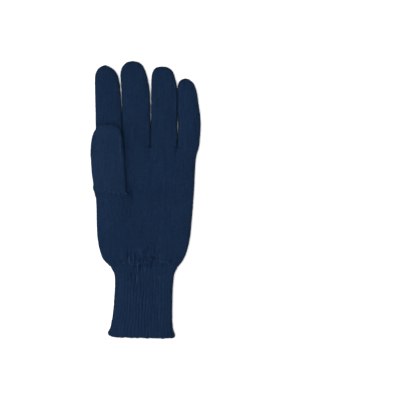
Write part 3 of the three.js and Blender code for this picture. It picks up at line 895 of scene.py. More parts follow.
    def build(self) -> bpy.types.Object:
        """Builds the piece's mesh: outside, rim and inner face in one closed skin.

        Returns:
            The finished object.
        """
        self.laid = self.skin()
        points, height, tone = self.outside(self.laid)
        points, inner = self.let_down(points), self.let_down(self.inside(self.laid))
        if self.closed_tip:
            pole = np.broadcast_to(inner[-1].mean(axis=0) + (0.0, self.wall, 0.0), inner[-1].shape)
            grid = np.concatenate([points, inner, pole[None]])
            rims = (len(points) - 1,)
        else:
            grid = np.concatenate([points, inner, points[:1]])
            rims = (0, len(points) - 1, len(grid) - 1)
        fill = ((0, len(grid) - len(points)), (0, 0))
        values = {
            "height": np.pad(height, fill, constant_values=0.4),
            "tone": np.pad(tone, fill, constant_values=0.5),
        }
        return tube_object(self.name, grid, values, self.form, rims)


def sharpen_rims(mesh: bpy.types.Mesh, rims: tuple[int, ...]) -> None:
    """Keeps the shading of a tube's outside apart from that of its rims.

    Args:
        mesh: The tube's mesh.
        rims: Rows at which the outside turns into a rim.
    """
    rings = numbers(mesh.attributes["ring"].data, "value", 1, np.int32)[:, 0]
    ends = rings[numbers(mesh.edges, "vertices", 2, np.int32)]
    sharp = (ends[:, 0] == ends[:, 1]) & np.isin(ends[:, 0], rims)
    layer = mesh.attributes.new("sharp_edge", "BOOLEAN", "EDGE")
    layer.data.foreach_set("value", sharp)
    mesh.attributes.remove(mesh.attributes["ring"])


def tube_object(
    name: str,
    grid: np.ndarray,
    values: dict[str, np.ndarray],
    form: StitchForm,
    rims: tuple[int, ...] = (),
) -> bpy.types.Object:
    """Rolls a plane grid up into a tube, sews its seam and closes its poles.

    Args:
        name: The piece's name.
        grid: Points by row and by column round the tube.
        values: Numbers kept with the points, by name, for the material.
        form: The stitch, which gives the scale of the knit map.
        rims: Rows at which the outside turns into a rim.

    Returns:
        The finished object.
    """
    rows, columns = grid.shape[:2]
    work = bmesh.new()
    work.loops.layers.uv.new("knit")
    bmesh.ops.create_grid(work, x_segments=columns, y_segments=rows - 1, size=0.5, calc_uvs=True)
    mesh = bpy.data.meshes.new(name)
    work.to_mesh(mesh)
    work.free()
    flat = numbers(mesh.vertices, "co", 3)
    column = np.rint((flat[:, 0] + 0.5) * columns).astype(int) % columns
    row = np.rint((flat[:, 1] + 0.5) * (rows - 1)).astype(int)
    mesh.vertices.foreach_set("co", grid[row, column].ravel())
    for key, shares in values.items():
        layer = mesh.attributes.new(key, "FLOAT", "POINT")
        layer.data.foreach_set("value", shares[row, column].ravel())
    ring = mesh.attributes.new("ring", "INT", "POINT")
    ring.data.foreach_set("value", row)
    knit_map = mesh.uv_layers["knit"].data
    uv = numbers(knit_map, "uv", 2) * (columns / form.columns, (rows - 1) / form.rows)
    knit_map.foreach_set("uv", uv.ravel())
    work = bmesh.new()
    work.from_mesh(mesh)
    bmesh.ops.remove_doubles(work, verts=work.verts, dist=1e-7)
    bmesh.ops.dissolve_degenerate(work, edges=work.edges, dist=1e-8)
    bmesh.ops.recalc_face_normals(work, faces=work.faces)
    work.to_mesh(mesh)
    work.free()
    mesh.polygons.foreach_set("use_smooth", [True] * len(mesh.polygons))
    sharpen_rims(mesh, rims)
    piece = bpy.data.objects.new(name, mesh)
    bpy.context.scene.collection.objects.link(piece)
    return piece


@dataclass(frozen=True)
class Press:
    """Where a finger is squeezed against a neighbour, and how far it bulges there.

    side is -1 or 1, upper and lower are rows of the photograph.
    """

    node: str
    side: int
    upper: float
    lower: float
    bulge: float


@dataclass
class Finger(KnitTube):
    """A finger tube, closed at its tip."""

    closed_tip: bool = True
    pressed: tuple[Press, ...] = ()
    press_ease: float = 2.0 * MM
    least_bulge: float = 0.2 * MM
    shoulder: float = 0.40 * MM
    tip_gathers: int = 9
    gather_depth: float = 0.30 * MM

    def swell(self, base: np.ndarray) -> np.ndarray:
        """Bulges against the neighbours and small gathers round the tip.

        Args:
            base: Points of the skin.

        Returns:
            How far each point is lifted.
        """
        y, z = base[..., 1], base[..., 2]
        across = across_tube(base)
        lift = super().swell(base)
        for press in self.pressed:
            top, bottom = photo_point(0.0, press.upper)[1], photo_point(0.0, press.lower)[1]
            along = smooth_step(y, bottom - self.press_ease, bottom + self.press_ease)
            along = along * (1.0 - smooth_step(y, top - self.press_ease, top + self.press_ease))
            side = press.side * across
            lift = lift + press.bulge * along * smooth_step(side, 0.70, 0.95)
            if press.bulge > self.least_bulge:
                upper_side = bell(side, 0.90, 0.09) * smooth_step(z, 4.5 * MM, 6.5 * MM)
                lift = lift + self.shoulder * along * upper_side
        near_tip = bell(y, y.max() - 1.6 * MM, 2.2 * MM)
        turned = np.arange(base.shape[1])[None, :] * 2.0 * math.pi / base.shape[1]
        pleat = 0.5 + 0.5 * np.cos(self.tip_gathers * turned + 0.7 * self.seed)
        return lift - self.gather_depth * near_tip * pleat


@dataclass
class UpperPalm(KnitTube):
    """Palm tube of four fingers, parted at its upper end into their roots.

    crotches are the places between the fingers, as shares of the width from the left.
    """

    crotches: tuple[float, ...] = ()
    root_reach: float = 13.0 * MM

    def runs(self, outline: Outline, y: float) -> list[Run]:
        """Runs of wales on a cross section, one for each finger, back and front.

        Args:
            outline: The section's outline.
            y: The section's place along Y.

        Returns:
            The runs, as lay_wales takes them.
        """
        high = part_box(self.node)[1]
        parted = 1.0 - float(smooth_step(high.y - y, 0.0, self.root_reach))
        side = 1.0 + (self.side_wale - 1.0) * parted
        places = [outline.x_at(share) for share in self.crotches]
        sole = [outline.sole_arc(x) for x in places] + [outline.right]
        crown = [outline.crown_arc(x) for x in reversed(places)] + [outline.length]
        counts = self.back + self.front[::-1]
        return [(stop, count, side) for stop, count in zip(sole + crown, counts)]


@dataclass
class LowerPalm(KnitTube):
    """Palm tube below the thumb, with the thumb's root, gathered into the cuff.

    The join is where the root meets the thumb, and the notch is at the join's left end.
    """

    knit: Knit = Knit.PLAIN_JERSEY
    edge_ceiling: float = 6.0 * MM
    crotches: tuple[float, ...] = ()
    crotch_wale: int = 35
    root_wales: int = 21
    notch_wales: int = 2
    root_share_top: float = 0.318
    root_share_gathers: float = 0.40
    notch_width: float = 4.6 * MM
    notch_narrowing: float = 1.8 * MM
    notch_bulge: float = 0.8 * MM
    notch_drop: float = 5.5 * MM
    seam_drop: float = 3.0 * MM
    section_step: float = 1.5 * MM
    gather_reach: float = 17.0 * MM
    gather_width: float = 15.5 * MM
    gather_pitch: float = 3.7 * MM
    gather_depth: float = 0.45 * MM
    join_rise: float = 0.42 * MM
    join_reach: float = 7.0 * MM
    join_at_crotch: float = 2.2
    join_at_edge: float = 0.4

    def __post_init__(self) -> None:
        """Counts the crown's wales: the palm's, the thumb root's and the notch's."""
        self.front = (self.crotch_wale + self.root_wales + self.notch_wales,)

    def section_places(self) -> np.ndarray:
        """Starts the sections where the thumb's root and the palm have grown together.

        Returns:
            Y of each, from the thumb's side down.
        """
        low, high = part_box(self.node)
        top = high.y - self.seam_drop
        count = int(round((top - low.y) / self.section_step))
        return np.linspace(top, low.y + self.inset, count)

    def eased(self, places: np.ndarray, stations: np.ndarray) -> np.ndarray:
        """Lets the thumb's root run out softly into the palm.

        Args:
            places: Y of each cross section.
            stations: X and Z of each section's points.

        Returns:
            The softened points.
        """
        soft = softened(softened(stations, 2.2 * SKIN_STEPS, 1, True), 3.0, 0, False)
        x, z = stations[..., 0], stations[..., 1]
        inward = smooth_step(x, x.min() + 10.0 * MM, x.min() + 18.0 * MM)
        outward_side = 1.0 - smooth_step(x, 12.0 * MM, 24.0 * MM)
        below = smooth_step(places[0] - places, 1.5 * MM, 8.0 * MM)[:, None]
        above = 1.0 - smooth_step(places[0] - places, 40.0 * MM, 50.0 * MM)[:, None]
        share = smooth_step(z, 6.0 * MM, 8.0 * MM) * inward * outward_side * below * above
        return stations + share[..., None] * (soft - stations)

    def stretched(self, places: np.ndarray) -> np.ndarray:
        """Moves the first sections up to the thumb line.

        Args:
            places: Y of each cross section.

        Returns:
            The places, the first ones moved furthest.
        """
        places = places.copy()
        low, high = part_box(self.node)
        reach = 4.0 * self.seam_drop
        near = np.clip((places - (places[0] - reach)) / reach, 0.0, 1.0)
        places += near * (high.y + self.start_gap - places[0])
        places[-1] = low.y - self.stop_gap
        return places

    def runs(self, outline: Outline, y: float) -> list[Run]:
        """Runs of wales: straight on from the upper palm, with the thumb's wales added.

        Args:
            outline: The section's outline.
            y: The section's place along Y.

        Returns:
            The runs, as lay_wales takes them.
        """
        low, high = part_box(self.node)
        down = float((high.y - y) / (high.y - low.y))
        gathered = float(smooth_step(down, 0.55, 1.0))
        moved = self.root_share_gathers - self.root_share_top
        crotch = outline.crown_arc(outline.x_at(self.root_share_top + moved * gathered))
        narrowing = self.notch_narrowing * float(smooth_step(down, 0.0, 0.5))
        notch = outline.length - (self.notch_width - narrowing)
        sole = [outline.sole_arc(outline.x_at(share)) for share in self.crotches]
        stops = sole + [outline.right, crotch, notch, outline.length]
        counts = self.back + (self.crotch_wale, self.root_wales, self.notch_wales)
        return [(stop, count, 1.0) for stop, count in zip(stops, counts)]

    def swell(self, base: np.ndarray) -> np.ndarray:
        """Pleats above the cuff, and the rise and bulge where the thumb is joined on.

        Args:
            base: Points of the skin.

        Returns:
            How far each point is lifted.
        """
        low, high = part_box(self.node)
        x, y, z = base[..., 0], base[..., 1], base[..., 2]
        near = 1.0 - smooth_step(y, low.y, low.y + self.gather_reach)
        middle = bell(x, GATHER_MIDDLE, self.gather_width) * smooth_step(z, *CROWN_RISE)
        wander = 0.9 * MM * np.sin(y / (5.0 * MM) + x / (9.0 * MM))
        wander = wander + uneven(x)
        pleat = np.cos(2.0 * math.pi * (x + wander) / self.gather_pitch)
        lift = self.gather_depth * near * middle * (pleat - 1.0)
        top = high.y
        left = smooth_step(-across_tube(base), 0.93, 0.99) * smooth_step(z, 7.0 * MM, 9.5 * MM)
        notch = smooth_step(y, top - self.notch_drop, top - 0.3 * self.notch_drop)
        meets = smooth_step(y, top - self.join_reach, top)
        meets = meets * smooth_step(z, 9.0 * MM, 12.5 * MM)
        at_crotch = self.join_at_crotch * smooth_step(x, -30.0 * MM, -23.0 * MM)
        at_edge = self.join_at_edge * (1.0 - smooth_step(x, -45.0 * MM, -41.5 * MM))
        lift = lift + self.join_rise * meets * (1.0 + at_crotch + at_edge)
        return lift + self.notch_bulge * notch * left + super().swell(base)


@dataclass
class Cuff(KnitTube):
    """Ribbed cuff: a knit wale standing out, a purl wale sunk beside it.

    firmness is how far the ribs stand out at the left edge, what the middle adds to it,
    and what the right side takes away again.
    """

    knit: Knit = Knit.RIB
    slot: str = "rib_knit"
    wall: float = 2.2 * MM
    mottle: float = 0.045
    left_bulge: float = 0.5 * MM
    section_step: float = 2.0 * MM
    rib_sway: float = 0.12
    pleat_reach: float = 14.0 * MM
    pleat_width: float = 17.0 * MM
    pleat_pitch: float = 4.4 * MM
    pleat_depth: float = 0.4 * MM
    firmness: tuple[float, float, float] = (0.22, 0.90, 0.55)
    firm_from: Span = (-28.0 * MM, -15.0 * MM)
    firm_until: Span = (-7.0 * MM, 16.0 * MM)
    left_corner_rise: float = 1.6 * MM
    right_corner_rise: float = 3.2 * MM
    corner_flare: float = 0.8 * MM
    flare_waist: float = 0.5 * MM
    hem_waver: float = 0.45 * MM
    hem_inset: float = 0.2 * MM

    def outline(self, triangles: np.ndarray, y: float) -> Outline:
        """Outline over the tops of the node's own ribs."""
        return Outline(ridge_line(outline_points(triangles, y)))

    def section_places(self) -> np.ndarray:
        """Stops the sections where the slanting hem begins.

        Returns:
            Y of each, from the palm's side down.
        """
        low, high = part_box(self.node)
        count = int(round((high.y - low.y) / self.section_step))
        return np.linspace(high.y - self.inset, low.y + self.slant() + self.hem_inset, count)

    def slant(self) -> float:
        """How much lower the hem hangs on the little finger's side."""
        low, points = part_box(self.node)[0], node_triangles(self.node).reshape(-1, 3)
        return float(points[points[:, 0] < low.x + 8.0 * MM, 1].min() - low.y)

    def runs(self, outline: Outline, y: float) -> list[Run]:
        """Ribs lie evenly round the cuff."""
        return [(outline.length, self.wales, 1.0)]

    def sway(self, row: np.ndarray, wale: np.ndarray) -> np.ndarray:
        """How far each rib strays sideways, neighbours together.

        Args:
            row: Places along the skin, counted in its sections.
            wale: Places round it, counted in ribs.

        Returns:
            The sideways step at each, in ribs.
        """
        around = 2.0 * math.pi * wale / self.wales
        slow = np.sin(row * 0.33 + 3.0 * around) + 0.6 * np.sin(row * 0.71 - 5.0 * around + 1.3)
        return self.rib_sway * slow

    def swell(self, base: np.ndarray) -> np.ndarray:
        """The gathers of the palm run on a little way into the ribs.

        Args:
            base: Points of the skin.

        Returns:
            How far each point is lifted.
        """
        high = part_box(self.node)[1]
        x, y, z = base[..., 0], base[..., 1], base[..., 2]
        near = smooth_step(y, high.y - self.pleat_reach, high.y)
        middle = bell(x, GATHER_MIDDLE, self.pleat_width) * smooth_step(z, *CROWN_RISE)
        pleat = np.cos(2.0 * math.pi * (x + uneven(x)) / self.pleat_pitch)
        return self.pleat_depth * near * middle * (pleat - 1.0) + super().swell(base)

    def strength(self, base: np.ndarray) -> np.ndarray:
        """How far the ribs stand out: least on the thumb's side, a little uneven all over.

        Args:
            base: Points of the skin.

        Returns:
            The share of the ribs' depth at each point.
        """
        x, y = base[..., 0], base[..., 1]
        least, gained, lost = self.firmness
        firm = least + gained * smooth_step(x, *self.firm_from)
        firm = firm - lost * smooth_step(x, *self.firm_until)
        slow = np.sin(x / (3.1 * MM) + 1.7 * np.sin(y / (11.0 * MM))) * np.sin(y / (7.3 * MM))
        begun = 0.45 + 0.55 * smooth_step(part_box(self.node)[1].y - y, 0.0, 7.0 * MM)
        return firm * begun * (0.66 + 0.22 * slow)

    def stretched(self, places: np.ndarray) -> np.ndarray:
        """Runs the cuff up to meet the palm."""
        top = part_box(self.node)[1].y + self.start_gap
        return np.concatenate([[top], places[1:]])

    def let_down(self, points: np.ndarray) -> np.ndarray:
        """Stretches the cuff down to its hem, further on the little finger's side.

        Args:
            points: Points of the cuff.

        Returns:
            The points, with the hem's slant, corners, flare and waver.
        """
        low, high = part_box(self.node)
        points = points.copy()
        down = np.clip((high.y - points[..., 1]) / (high.y - low.y - self.slant()), 0.0, 1.0)
        across = np.clip((points[..., 0] - low.x) / (high.x - low.x), 0.0, 1.0)
        points[..., 1] -= down * self.slant() * across
        side = 2.0 * across - 1.0
        corner = np.where(side < 0.0, self.left_corner_rise, self.right_corner_rise)
        points[..., 1] += corner * np.abs(side) ** 9 * smooth_step(down, 0.72, 1.0)
        flare = self.corner_flare * smooth_step(down, 0.93, 1.0)
        points[..., 0] += side**3 * (flare - self.flare_waist * bell(down, 0.88, 0.05))
        waver = np.sin(across * 31.0) + np.sin(across * 53.0 + 1.0) + np.sin(across * 87.0)
        points[..., 1] += self.hem_waver * (waver / 3.0 - 1.1) * smooth_step(down, 0.95, 1.0)
        return points


def ridge_line(points: np.ndarray) -> np.ndarray:
    """Outline drawn tightly round a ribbed one, anticlockwise.

    Args:
        points: X and Z of the ribbed outline's corners.

    Returns:
        The corners that the tight line touches.
    """
    ordered = sorted({(float(x), float(z)) for x, z in points})

    def half_turn(run: list[tuple[float, float]]) -> list[tuple[float, float]]:
        """Goes along one side of the tight line.

        Args:
            run: The corners from one end to the other.

        Returns:
            Those that the line touches, without the last.
        """
        kept: list[tuple[float, float]] = []
        for point in run:
            while len(kept) > 1 and turn(kept[-2], kept[-1], point) <= 0.0:
                kept.pop()
            kept.append(point)
        return kept[:-1]

    return np.array(half_turn(ordered) + half_turn(ordered[::-1]))


def turn(first: tuple, second: tuple, third: tuple) -> float:
    """Twice the area that three points turn through, above 0 to the left."""
    across = (second[0] - first[0]) * (third[1] - first[1])
    return across - (second[1] - first[1]) * (third[0] - first[0])


@dataclass
class CuffEdge:
    """Cast-on edge: a thin rope of yarn wrapped along the hem."""

    node: str = "cuff_edge"
    name: str = "cast_on_edge"
    slot: str = "edge_yarn"
    cuff_node: str = "cuff"
    lumps: int = 82
    columns: int = 6
    section_rows: int = 12
    thickness: float = 2.2 * MM
    lump_depth: float = 0.32 * MM
    unevenness: float = 0.16
    hem_inset: float = 0.175 * MM
    overlap: float = 0.40 * MM
    extra_length: float = 0.25 * MM

    def build(self, cuff: Cuff) -> bpy.types.Object:
        """Builds the rope along the cuff's last cross section.

        Args:
            cuff: The finished cuff, whose skin gives the hem's line.

        Returns:
            The finished object.
        """
        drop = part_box(self.cuff_node)[0].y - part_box(self.node)[0].y
        count = self.lumps * self.columns
        wale = np.arange(count) * cuff.wales / count
        row = np.full(count, len(cuff.laid.places) - 1.0)
        hem = cuff.let_down(cuff.laid.points(row[None], wale[None]))[0]
        ahead = np.roll(hem, -1, axis=0) - np.roll(hem, 1, axis=0)
        inward = np.stack([-ahead[:, 2], np.zeros(count), ahead[:, 0]], axis=1)
        inward /= np.linalg.norm(inward, axis=1, keepdims=True)
        half_length = 0.5 * drop + self.extra_length
        turned = np.linspace(0.0, 2.0 * math.pi, self.section_rows, endpoint=False)[:, None]
        lump = 2.0 * math.pi * np.arange(count)[None, :] / self.columns
        random = np.random.default_rng(SEED + 7)
        sizes = 1.0 + random.normal(0.0, self.unevenness, self.lumps)
        sizes = sizes[np.arange(count) // self.columns]
        slanted = 0.5 + 0.5 * np.cos(lump + 1.3 * turned)
        swell = self.lump_depth * (slanted * sizes - 1.0)
        deep = 0.5 * self.thickness
        radial = deep - (deep + swell) * np.cos(turned) - swell.max() + self.hem_inset
        middle = hem[None] - np.array([0.0, half_length - self.overlap, 0.0])
        grid = middle + inward[None] * radial[..., None]
        grid[..., 1] += (half_length + swell) * np.sin(turned)
        grid[..., 2] = np.maximum(grid[..., 2], 0.0)
        closed = np.arange(self.section_rows + 1) % self.section_rows
        values = {"height": slanted[closed], "tone": np.full((len(closed), count), 0.55)}
        return tube_object(self.name, grid[closed], values, Knit.RIB.value)


class Shade:
    """A socket of a node graph whose arithmetic adds Math nodes."""

    def __init__(self, graph: "Graph", socket: bpy.types.NodeSocket) -> None:
        """Wraps a socket of a graph."""
        self.graph, self.socket = graph, socket

    def _math(self, operation: str, first: object, second: object) -> "Shade":
        """Adds one Math node."""
        return self.graph.add("ShaderNodeMath", {"operation": operation}, {0: first, 1: second})

    def __add__(self, other: object) -> "Shade":
        """Sum."""
        return self._math("ADD", self, other)

    __radd__ = __add__

    def __sub__(self, other: object) -> "Shade":
        """Difference."""
        return self._math("SUBTRACT", self, other)

    def __rsub__(self, other: object) -> "Shade":
        """Difference, the other way round."""
        return self._math("SUBTRACT", other, self)

    def __mul__(self, other: object) -> "Shade":
        """Product."""
        return self._math("MULTIPLY", self, other)

    __rmul__ = __mul__

    def __truediv__(self, other: object) -> "Shade":
        """Quotient."""
        return self._math("DIVIDE", self, other)

    def wave(self) -> "Shade":
        """Sine of the value, between 0 and 1."""
        sine = self._math("SINE", self, 0.0)
        return sine * 0.5 + 0.5

    def clipped(self) -> "Shade":
        """Value kept between 0 and 1."""
        return self.graph.add("ShaderNodeClamp", {}, {0: self})


class Graph:
    """Node graph of one material."""

    def __init__(self, name: str) -> None:
        """Starts a material with an empty graph.

        Args:
            name: The material's name.
        """
        self.material = bpy.data.materials.new(name)
        self.material.use_nodes = True
        self.tree = self.material.node_tree
        self.tree.nodes.clear()

    def show(self, surface: Shade) -> None:
        """Makes a shader the material's surface."""
        output = self.tree.nodes.new("ShaderNodeOutputMaterial")
        self.tree.links.new(surface.socket, output.inputs["Surface"])

    def add(self, kind: str, settings: dict, inputs: dict, output: int | str = 0) -> Shade:
        """Adds a node.

        Args:
            kind: The node's type.
            settings: Its own settings, set before its sockets.
            inputs: Values or links of its sockets, by number or name.
            output: The output socket to hand on.

        Returns:
            That output.
        """
        node = self.tree.nodes.new(kind)
        for key, value in settings.items():
            setattr(node, key, value)
        for key, value in inputs.items():
            if isinstance(value, Shade):
                self.tree.links.new(value.socket, node.inputs[key])
            else:
                node.inputs[key].default_value = value
        return Shade(self, node.outputs[output])

    def mix(self, share: object, first: object, second: object) -> Shade:
        """Colour between two colours."""
        inputs = {0: share, 6: first, 7: second}
        return self.add("ShaderNodeMix", {"data_type": "RGBA"}, inputs, 2)

    def attribute(self, name: str) -> Shade:
        """Number kept with a piece's points."""
        return self.add("ShaderNodeAttribute", {"attribute_name": name}, {}, "Fac")

    def noise(self, vector: Shade, scale: float, detail: float = 2.0) -> Shade:
        """Cloudy pattern between 0 and 1."""
        inputs = {"Vector": vector, "Scale": scale, "Detail": detail}
        return self.add("ShaderNodeTexNoise", {}, inputs)


@dataclass(frozen=True)
class Wool:
    """Finish of a knitted piece: dyed wool with painted shade between the stitches, a painted
    glint on raised loops, and a soft nap.
    """

    name: str
    crest: tuple[float, float, float]
    # valley is the crest's colour darkened, as painted shade between the stitches.
    valley: tuple[float, float, float]
    fleck: tuple[float, float, float]
    glint: tuple[float, float, float] = (0.0170, 0.0350, 0.0740)
    sheen: float = 0.03
    roughness: float = 0.92

    def material(self) -> bpy.types.Material:
        """Builds the material: colours from height, tone and noise, with painted shade in the
        stitch valleys and painted highlights on raised loops, and bump from the yarn's plies.

        Returns:
            The material.
        """
        graph = Graph(self.name)
        place = graph.add("ShaderNodeTexCoord", {}, {}, "Object")
        height = graph.attribute("height")
        tone = graph.attribute("tone")
        heather = graph.noise(place, 520.0, 3.0)
        drawn_out = graph.add(
            "ShaderNodeVectorMath", {"operation": "MULTIPLY"}, {0: place, 1: (1.0, 0.09, 1.0)}
        )
        streak = graph.noise(drawn_out, 560.0, 1.0)
        cloud = graph.noise(place, 34.0, 2.0)
        patches = ((cloud - 0.42) * 4.0).clipped()
        # Low yarn takes the valley colour: painted shade between the stitches.
        relief = (height - 0.62) * (patches * 0.5 + 0.35)
        # Random mottle and streaks of the yarn, with the painted light and shade of the marks.
        mottle_and_painted_light = (tone - 0.5) * 0.8 + (streak - 0.5) * 0.5 + (cloud - 0.5) * 0.2
        depth = (relief + mottle_and_painted_light + 0.66).clipped()
        dyed_and_painted_light = graph.mix(depth, (*self.valley, 1.0), (*self.crest, 1.0))
        flecked = ((heather - 0.56) * 3.2).clipped() * 0.35
        # Painted highlight where the marks make the yarn lightest.
        lit = ((tone - 0.80) * 4.0).clipped() * (height * 0.7 + 0.3)
        heathered = graph.mix(flecked, dyed_and_painted_light, (*self.fleck, 1.0))
        colour = graph.mix(lit.clipped(), heathered, (*self.glint, 1.0))
        knit_map = graph.add("ShaderNodeUVMap", {"uv_map": "knit"}, {}, "UV")
        parts = graph.tree.nodes.new("ShaderNodeSeparateXYZ")
        graph.tree.links.new(knit_map.socket, parts.inputs[0])
        across = Shade(graph, parts.outputs[0])
        along = Shade(graph, parts.outputs[1])
        twist = (across * 37.7 + along * 31.4 + heather * 2.0).wave()
        fuzz = graph.noise(place, 4200.0, 3.0)
        plies = twist * 0.55 + fuzz * 0.9
        bump = graph.add(
            "ShaderNodeBump", {}, {"Strength": 0.5, "Distance": 0.00018, "Height": plies}
        )
        rough = (fuzz * 0.12 + (self.roughness - 0.06)).clipped()
        surface = graph.add(
            "ShaderNodeBsdfPrincipled",
            {},
            {
                "Base Color": colour,
                "Roughness": rough,
                "Normal": bump,
                "Sheen Weight": self.sheen,
                "Sheen Roughness": 0.55,
                "Sheen Tint": (0.25, 0.42, 0.75, 1.0),
                "Specular IOR Level": 0.0,
            },
        )
        graph.show(surface)
        return graph.material


PALM_WOOL = Wool(
    "palm_wool",
    (0.0082, 0.0197, 0.0478),
    (0.0024, 0.0066, 0.0170),
    (0.013, 0.030, 0.066),
)
# The thumb's wool is the palm's yarn painted lighter, as painted light on the thumb.
LIT_THUMB_WOOL = Wool(
    "thumb_wool_painted_lighter",
    (0.0096, 0.0222, 0.0524),
    (0.0030, 0.0077, 0.0194),
    (0.015, 0.032, 0.069),
)
RIB_WOOL = Wool(
    "rib_wool",
    (0.0078, 0.0188, 0.0455),
    (0.0024, 0.0063, 0.0161),
    (0.012, 0.027, 0.060),
)
EDGE_WOOL = Wool(
    "edge_wool",
    (0.0096, 0.0222, 0.0525),
    (0.0028, 0.0072, 0.0182),
    (0.014, 0.031, 0.067),
)


@dataclass
class Studio:
    """Plain pale floor, soft light from the left, and the camera straight above."""

    floor_size: float = 6.0
    floor_drop: float = 0.3 * MM
    camera_height: float = 2.4
    sky: float = 0.50
    key_power: float = 14.0
    key_size: float = 1.2
    top_power: float = 100.0
    top_size: float = 1.6

    def build(self) -> None:
        """Builds the floor, the lights and the camera."""
        self.floor()
        self.light()
        self.camera()

    def floor(self) -> None:
        """Lays a pale floor just under the glove."""
        work = bmesh.new()
        bmesh.ops.create_grid(work, x_segments=1, y_segments=1, size=0.5 * self.floor_size)
        bmesh.ops.translate(work, verts=work.verts, vec=(0.0, 0.0, -self.floor_drop))
        mesh = bpy.data.meshes.new("floor")
        work.to_mesh(mesh)
        work.free()
        graph = Graph("floor_paper")
        place = graph.add("ShaderNodeTexCoord", {}, {}, "Object")
        grain = graph.noise(place, 900.0, 2.0)
        colour = graph.mix(grain, (0.90, 0.90, 0.90, 1.0), (0.93, 0.93, 0.93, 1.0))
        surface = graph.add(
            "ShaderNodeBsdfPrincipled",
            {},
            {"Base Color": colour, "Roughness": 0.9, "Specular IOR Level": 0.1},
        )
        graph.show(surface)
        mesh.materials.append(graph.material)
        piece = bpy.data.objects.new("floor", mesh)
        bpy.context.scene.collection.objects.link(piece)

    def light(self) -> None:
        """Lights the scene softly from all round, from above and from the left."""
        scene = bpy.context.scene
        scene.view_settings.view_transform = "Standard"
        world = bpy.data.worlds.new("soft_sky")
        world.use_nodes = True
        background = world.node_tree.nodes["Background"]
        background.inputs["Color"].default_value = (1.0, 1.0, 1.0, 1.0)
        background.inputs["Strength"].default_value = self.sky
        scene.world = world
        self.lamp("key_light", self.key_power, self.key_size, Vector((-1.25, -0.40, 1.25)))
        self.lamp("top_light", self.top_power, self.top_size, Vector((-0.30, 0.10, 3.20)))

    @staticmethod
    def lamp(name: str, power: float, size: float, place: Vector) -> None:
        """Adds a square lamp that faces the glove.

        Args:
            name: The lamp's name.
            power: Its power in watts.
            size: Length of its sides.
            place: Where it hangs.
        """
        light = bpy.data.lights.new(name, "AREA")
        light.energy = power
        light.size = size
        lamp = bpy.data.objects.new(name, light)
        lamp.location = place
        lamp.rotation_euler = (-place).to_track_quat("-Z", "Y").to_euler()
        bpy.context.scene.collection.objects.link(lamp)

    def camera(self) -> None:
        """Looks straight down, framed as the photograph is."""
        lens = bpy.data.cameras.new("camera")
        view_width = PHOTO_PIXELS * PHOTO_PIXEL
        lens.angle = 2.0 * math.atan(0.5 * view_width / (self.camera_height - 6.0 * MM))
        camera = bpy.data.objects.new("camera", lens)
        x, y = photo_point(0.5 * PHOTO_PIXELS, 0.5 * PHOTO_PIXELS)
        camera.location = (x, y, self.camera_height)
        bpy.context.scene.collection.objects.link(camera)
        bpy.context.scene.camera = camera


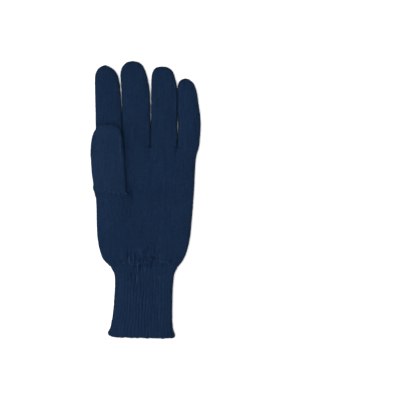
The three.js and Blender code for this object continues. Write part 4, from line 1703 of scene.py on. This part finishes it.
@dataclass
class Glove:
    """The whole glove, piece by piece from the fingertips to the hem.

    line_gap is half of the gap between the frame's tubes. root_step is how far above a
    finger's root its width is read.
    """

    finger_wales: tuple[tuple[str, int], ...] = (
        ("index_finger", 13),
        ("middle_finger", 14),
        ("ring_finger", 13),
        ("little_finger", 10),
    )
    presses: tuple[Press, ...] = (
        Press("index_finger", 1, 92.0, 108.0, 0.12 * MM),
        Press("index_finger", 1, 108.0, 160.0, 0.24 * MM),
        Press("index_finger", 1, 60.0, 83.0, -0.60 * MM),
        Press("middle_finger", -1, 92.0, 108.0, 0.14 * MM),
        Press("middle_finger", -1, 108.0, 160.0, 0.24 * MM),
        Press("middle_finger", 1, 104.0, 121.0, 0.16 * MM),
        Press("middle_finger", 1, 121.0, 160.0, 0.30 * MM),
        Press("ring_finger", -1, 104.0, 121.0, 0.14 * MM),
        Press("ring_finger", -1, 121.0, 160.0, 0.30 * MM),
        Press("ring_finger", 1, 81.0, 120.0, 0.32 * MM),
        Press("ring_finger", 1, 120.0, 160.0, 0.50 * MM),
        Press("little_finger", -1, 81.0, 118.0, 0.42 * MM),
        Press("little_finger", -1, 118.0, 136.0, 0.70 * MM),
        Press("little_finger", -1, 136.0, 160.0, 0.48 * MM),
        Press("thumb", -1, 186.0, 210.0, 1.5 * MM),
        Press("thumb", 1, 136.0, 162.0, 0.6 * MM),
    )
    thumb_wales: int = 14
    ribs: int = 41
    line_gap: float = 0.15 * MM
    root_step: float = 0.4 * MM

    def crotches(self) -> tuple[float, ...]:
        """Finds where the finger roots part.

        Returns:
            Three places, as shares of the knuckle line from the left.
        """
        edges = []
        for node, _ in self.finger_wales:
            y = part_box(node)[0].y + self.root_step
            root = Outline(outline_points(node_triangles(node), y))
            edges.append((root.left_x, root.right_x))
        left, right = edges[0][0], edges[-1][1]
        middles = [0.5 * (one[1] + two[0]) for one, two in zip(edges, edges[1:])]
        return tuple((middle - left) / (right - left) for middle in middles)

    def finger(self, node: str, wales: int, step: int, spots: Spots, bulge: float) -> Finger:
        """A finger or the thumb.

        Args:
            node: The CAD node that it replaces.
            wales: Wales over its crown, and as many along its sole.
            step: Added to the seed, so that no two fingers vary alike.
            spots: Where its yarn lies or shows otherwise.
            bulge: How far its left edge swells out.

        Returns:
            The finger, ready to build.
        """
        finger = Finger(f"knit_{node}", node, (wales,), (wales,), seed=SEED + step, spots=spots)
        finger.pressed = tuple(press for press in self.presses if press.node == node)
        finger.left_bulge = bulge
        finger.stop_gap = self.line_gap
        return finger

    def fingers(self) -> list[Finger]:
        """Makes the four fingers ready to build.

        Returns:
            The fingers, from the index finger on.
        """
        spots = CROTCHES + WALE_DASHES
        return [
            self.finger(node, wales, step, spots, 0.0 if step else 0.45 * MM)
            for step, (node, wales) in enumerate(self.finger_wales)
        ]

    def palms(self) -> list[KnitTube]:
        """Makes the palm ready to build.

        Returns:
            The palm above and the palm below the thumb line.
        """
        counts = tuple(wales for _, wales in self.finger_wales)
        upper = UpperPalm("knit_upper_palm", "upper_palm", counts, counts, seed=SEED + 6)
        upper.spots = CROTCHES + SLUBS + WALE_DASHES
        upper.left_bulge = 0.45 * MM
        lower = LowerPalm("knit_lower_palm", "lower_palm", (), counts, seed=SEED + 8)
        lower.spots = SLUBS + GATHERS + THUMB_JOIN + WALE_DASHES + GATHER_DASHES + PAINTED_LIGHT_AND_SHADE
        lower.left_bulge = 0.6 * MM
        upper.crotches = lower.crotches = self.crotches()
        for palm in (upper, lower):
            palm.start_gap = palm.stop_gap = self.line_gap
        return [upper, lower]

    def cuff(self) -> Cuff:
        """Makes the cuff ready to build.

        Returns:
            The cuff.
        """
        cuff = Cuff("knit_cuff", "cuff", (self.ribs,), (), seed=SEED + 9)
        cuff.spots = GATHERS + GATHER_DASHES + RIB_DASHES + PAINTED_LIGHT_AND_SHADE
        cuff.start_gap = self.line_gap
        return cuff

    def dress(self, piece: bpy.types.Object, maker: KnitTube | CuffEdge, finish: Wool) -> None:
        """Gives a piece its finish and fixes it to the frame.

        Args:
            piece: The finished object.
            maker: What built it, which names its CAD node.
            finish: Its finish.
        """
        material = bpy.data.materials.get(finish.name) or finish.material()
        piece.data.materials.append(material)
        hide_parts(maker.node)
        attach(piece, "root")
        LOG.info("%s: %d faces", piece.name, len(piece.data.polygons))

    def build(self) -> None:
        """Builds and dresses every piece."""
        for finger in self.fingers():
            self.dress(finger.build(), finger, PALM_WOOL)
        thumb_spots = THUMB_JOIN + WALE_DASHES + THUMB_PAINTED_LIGHT
        thumb = self.finger("thumb", self.thumb_wales, 5, thumb_spots, 0.25 * MM)
        self.dress(thumb.build(), thumb, LIT_THUMB_WOOL)
        for palm in self.palms():
            self.dress(palm.build(), palm, PALM_WOOL)
        cuff, edge = self.cuff(), CuffEdge()
        self.dress(cuff.build(), cuff, RIB_WOOL)
        self.dress(edge.build(cuff), edge, EDGE_WOOL)


def main() -> None:
    """Builds the studio and the glove."""
    logging.basicConfig(level=logging.INFO, format="%(name)s: %(message)s")
    Studio().build()
    Glove().build()


if __name__ == "__main__":
    main()
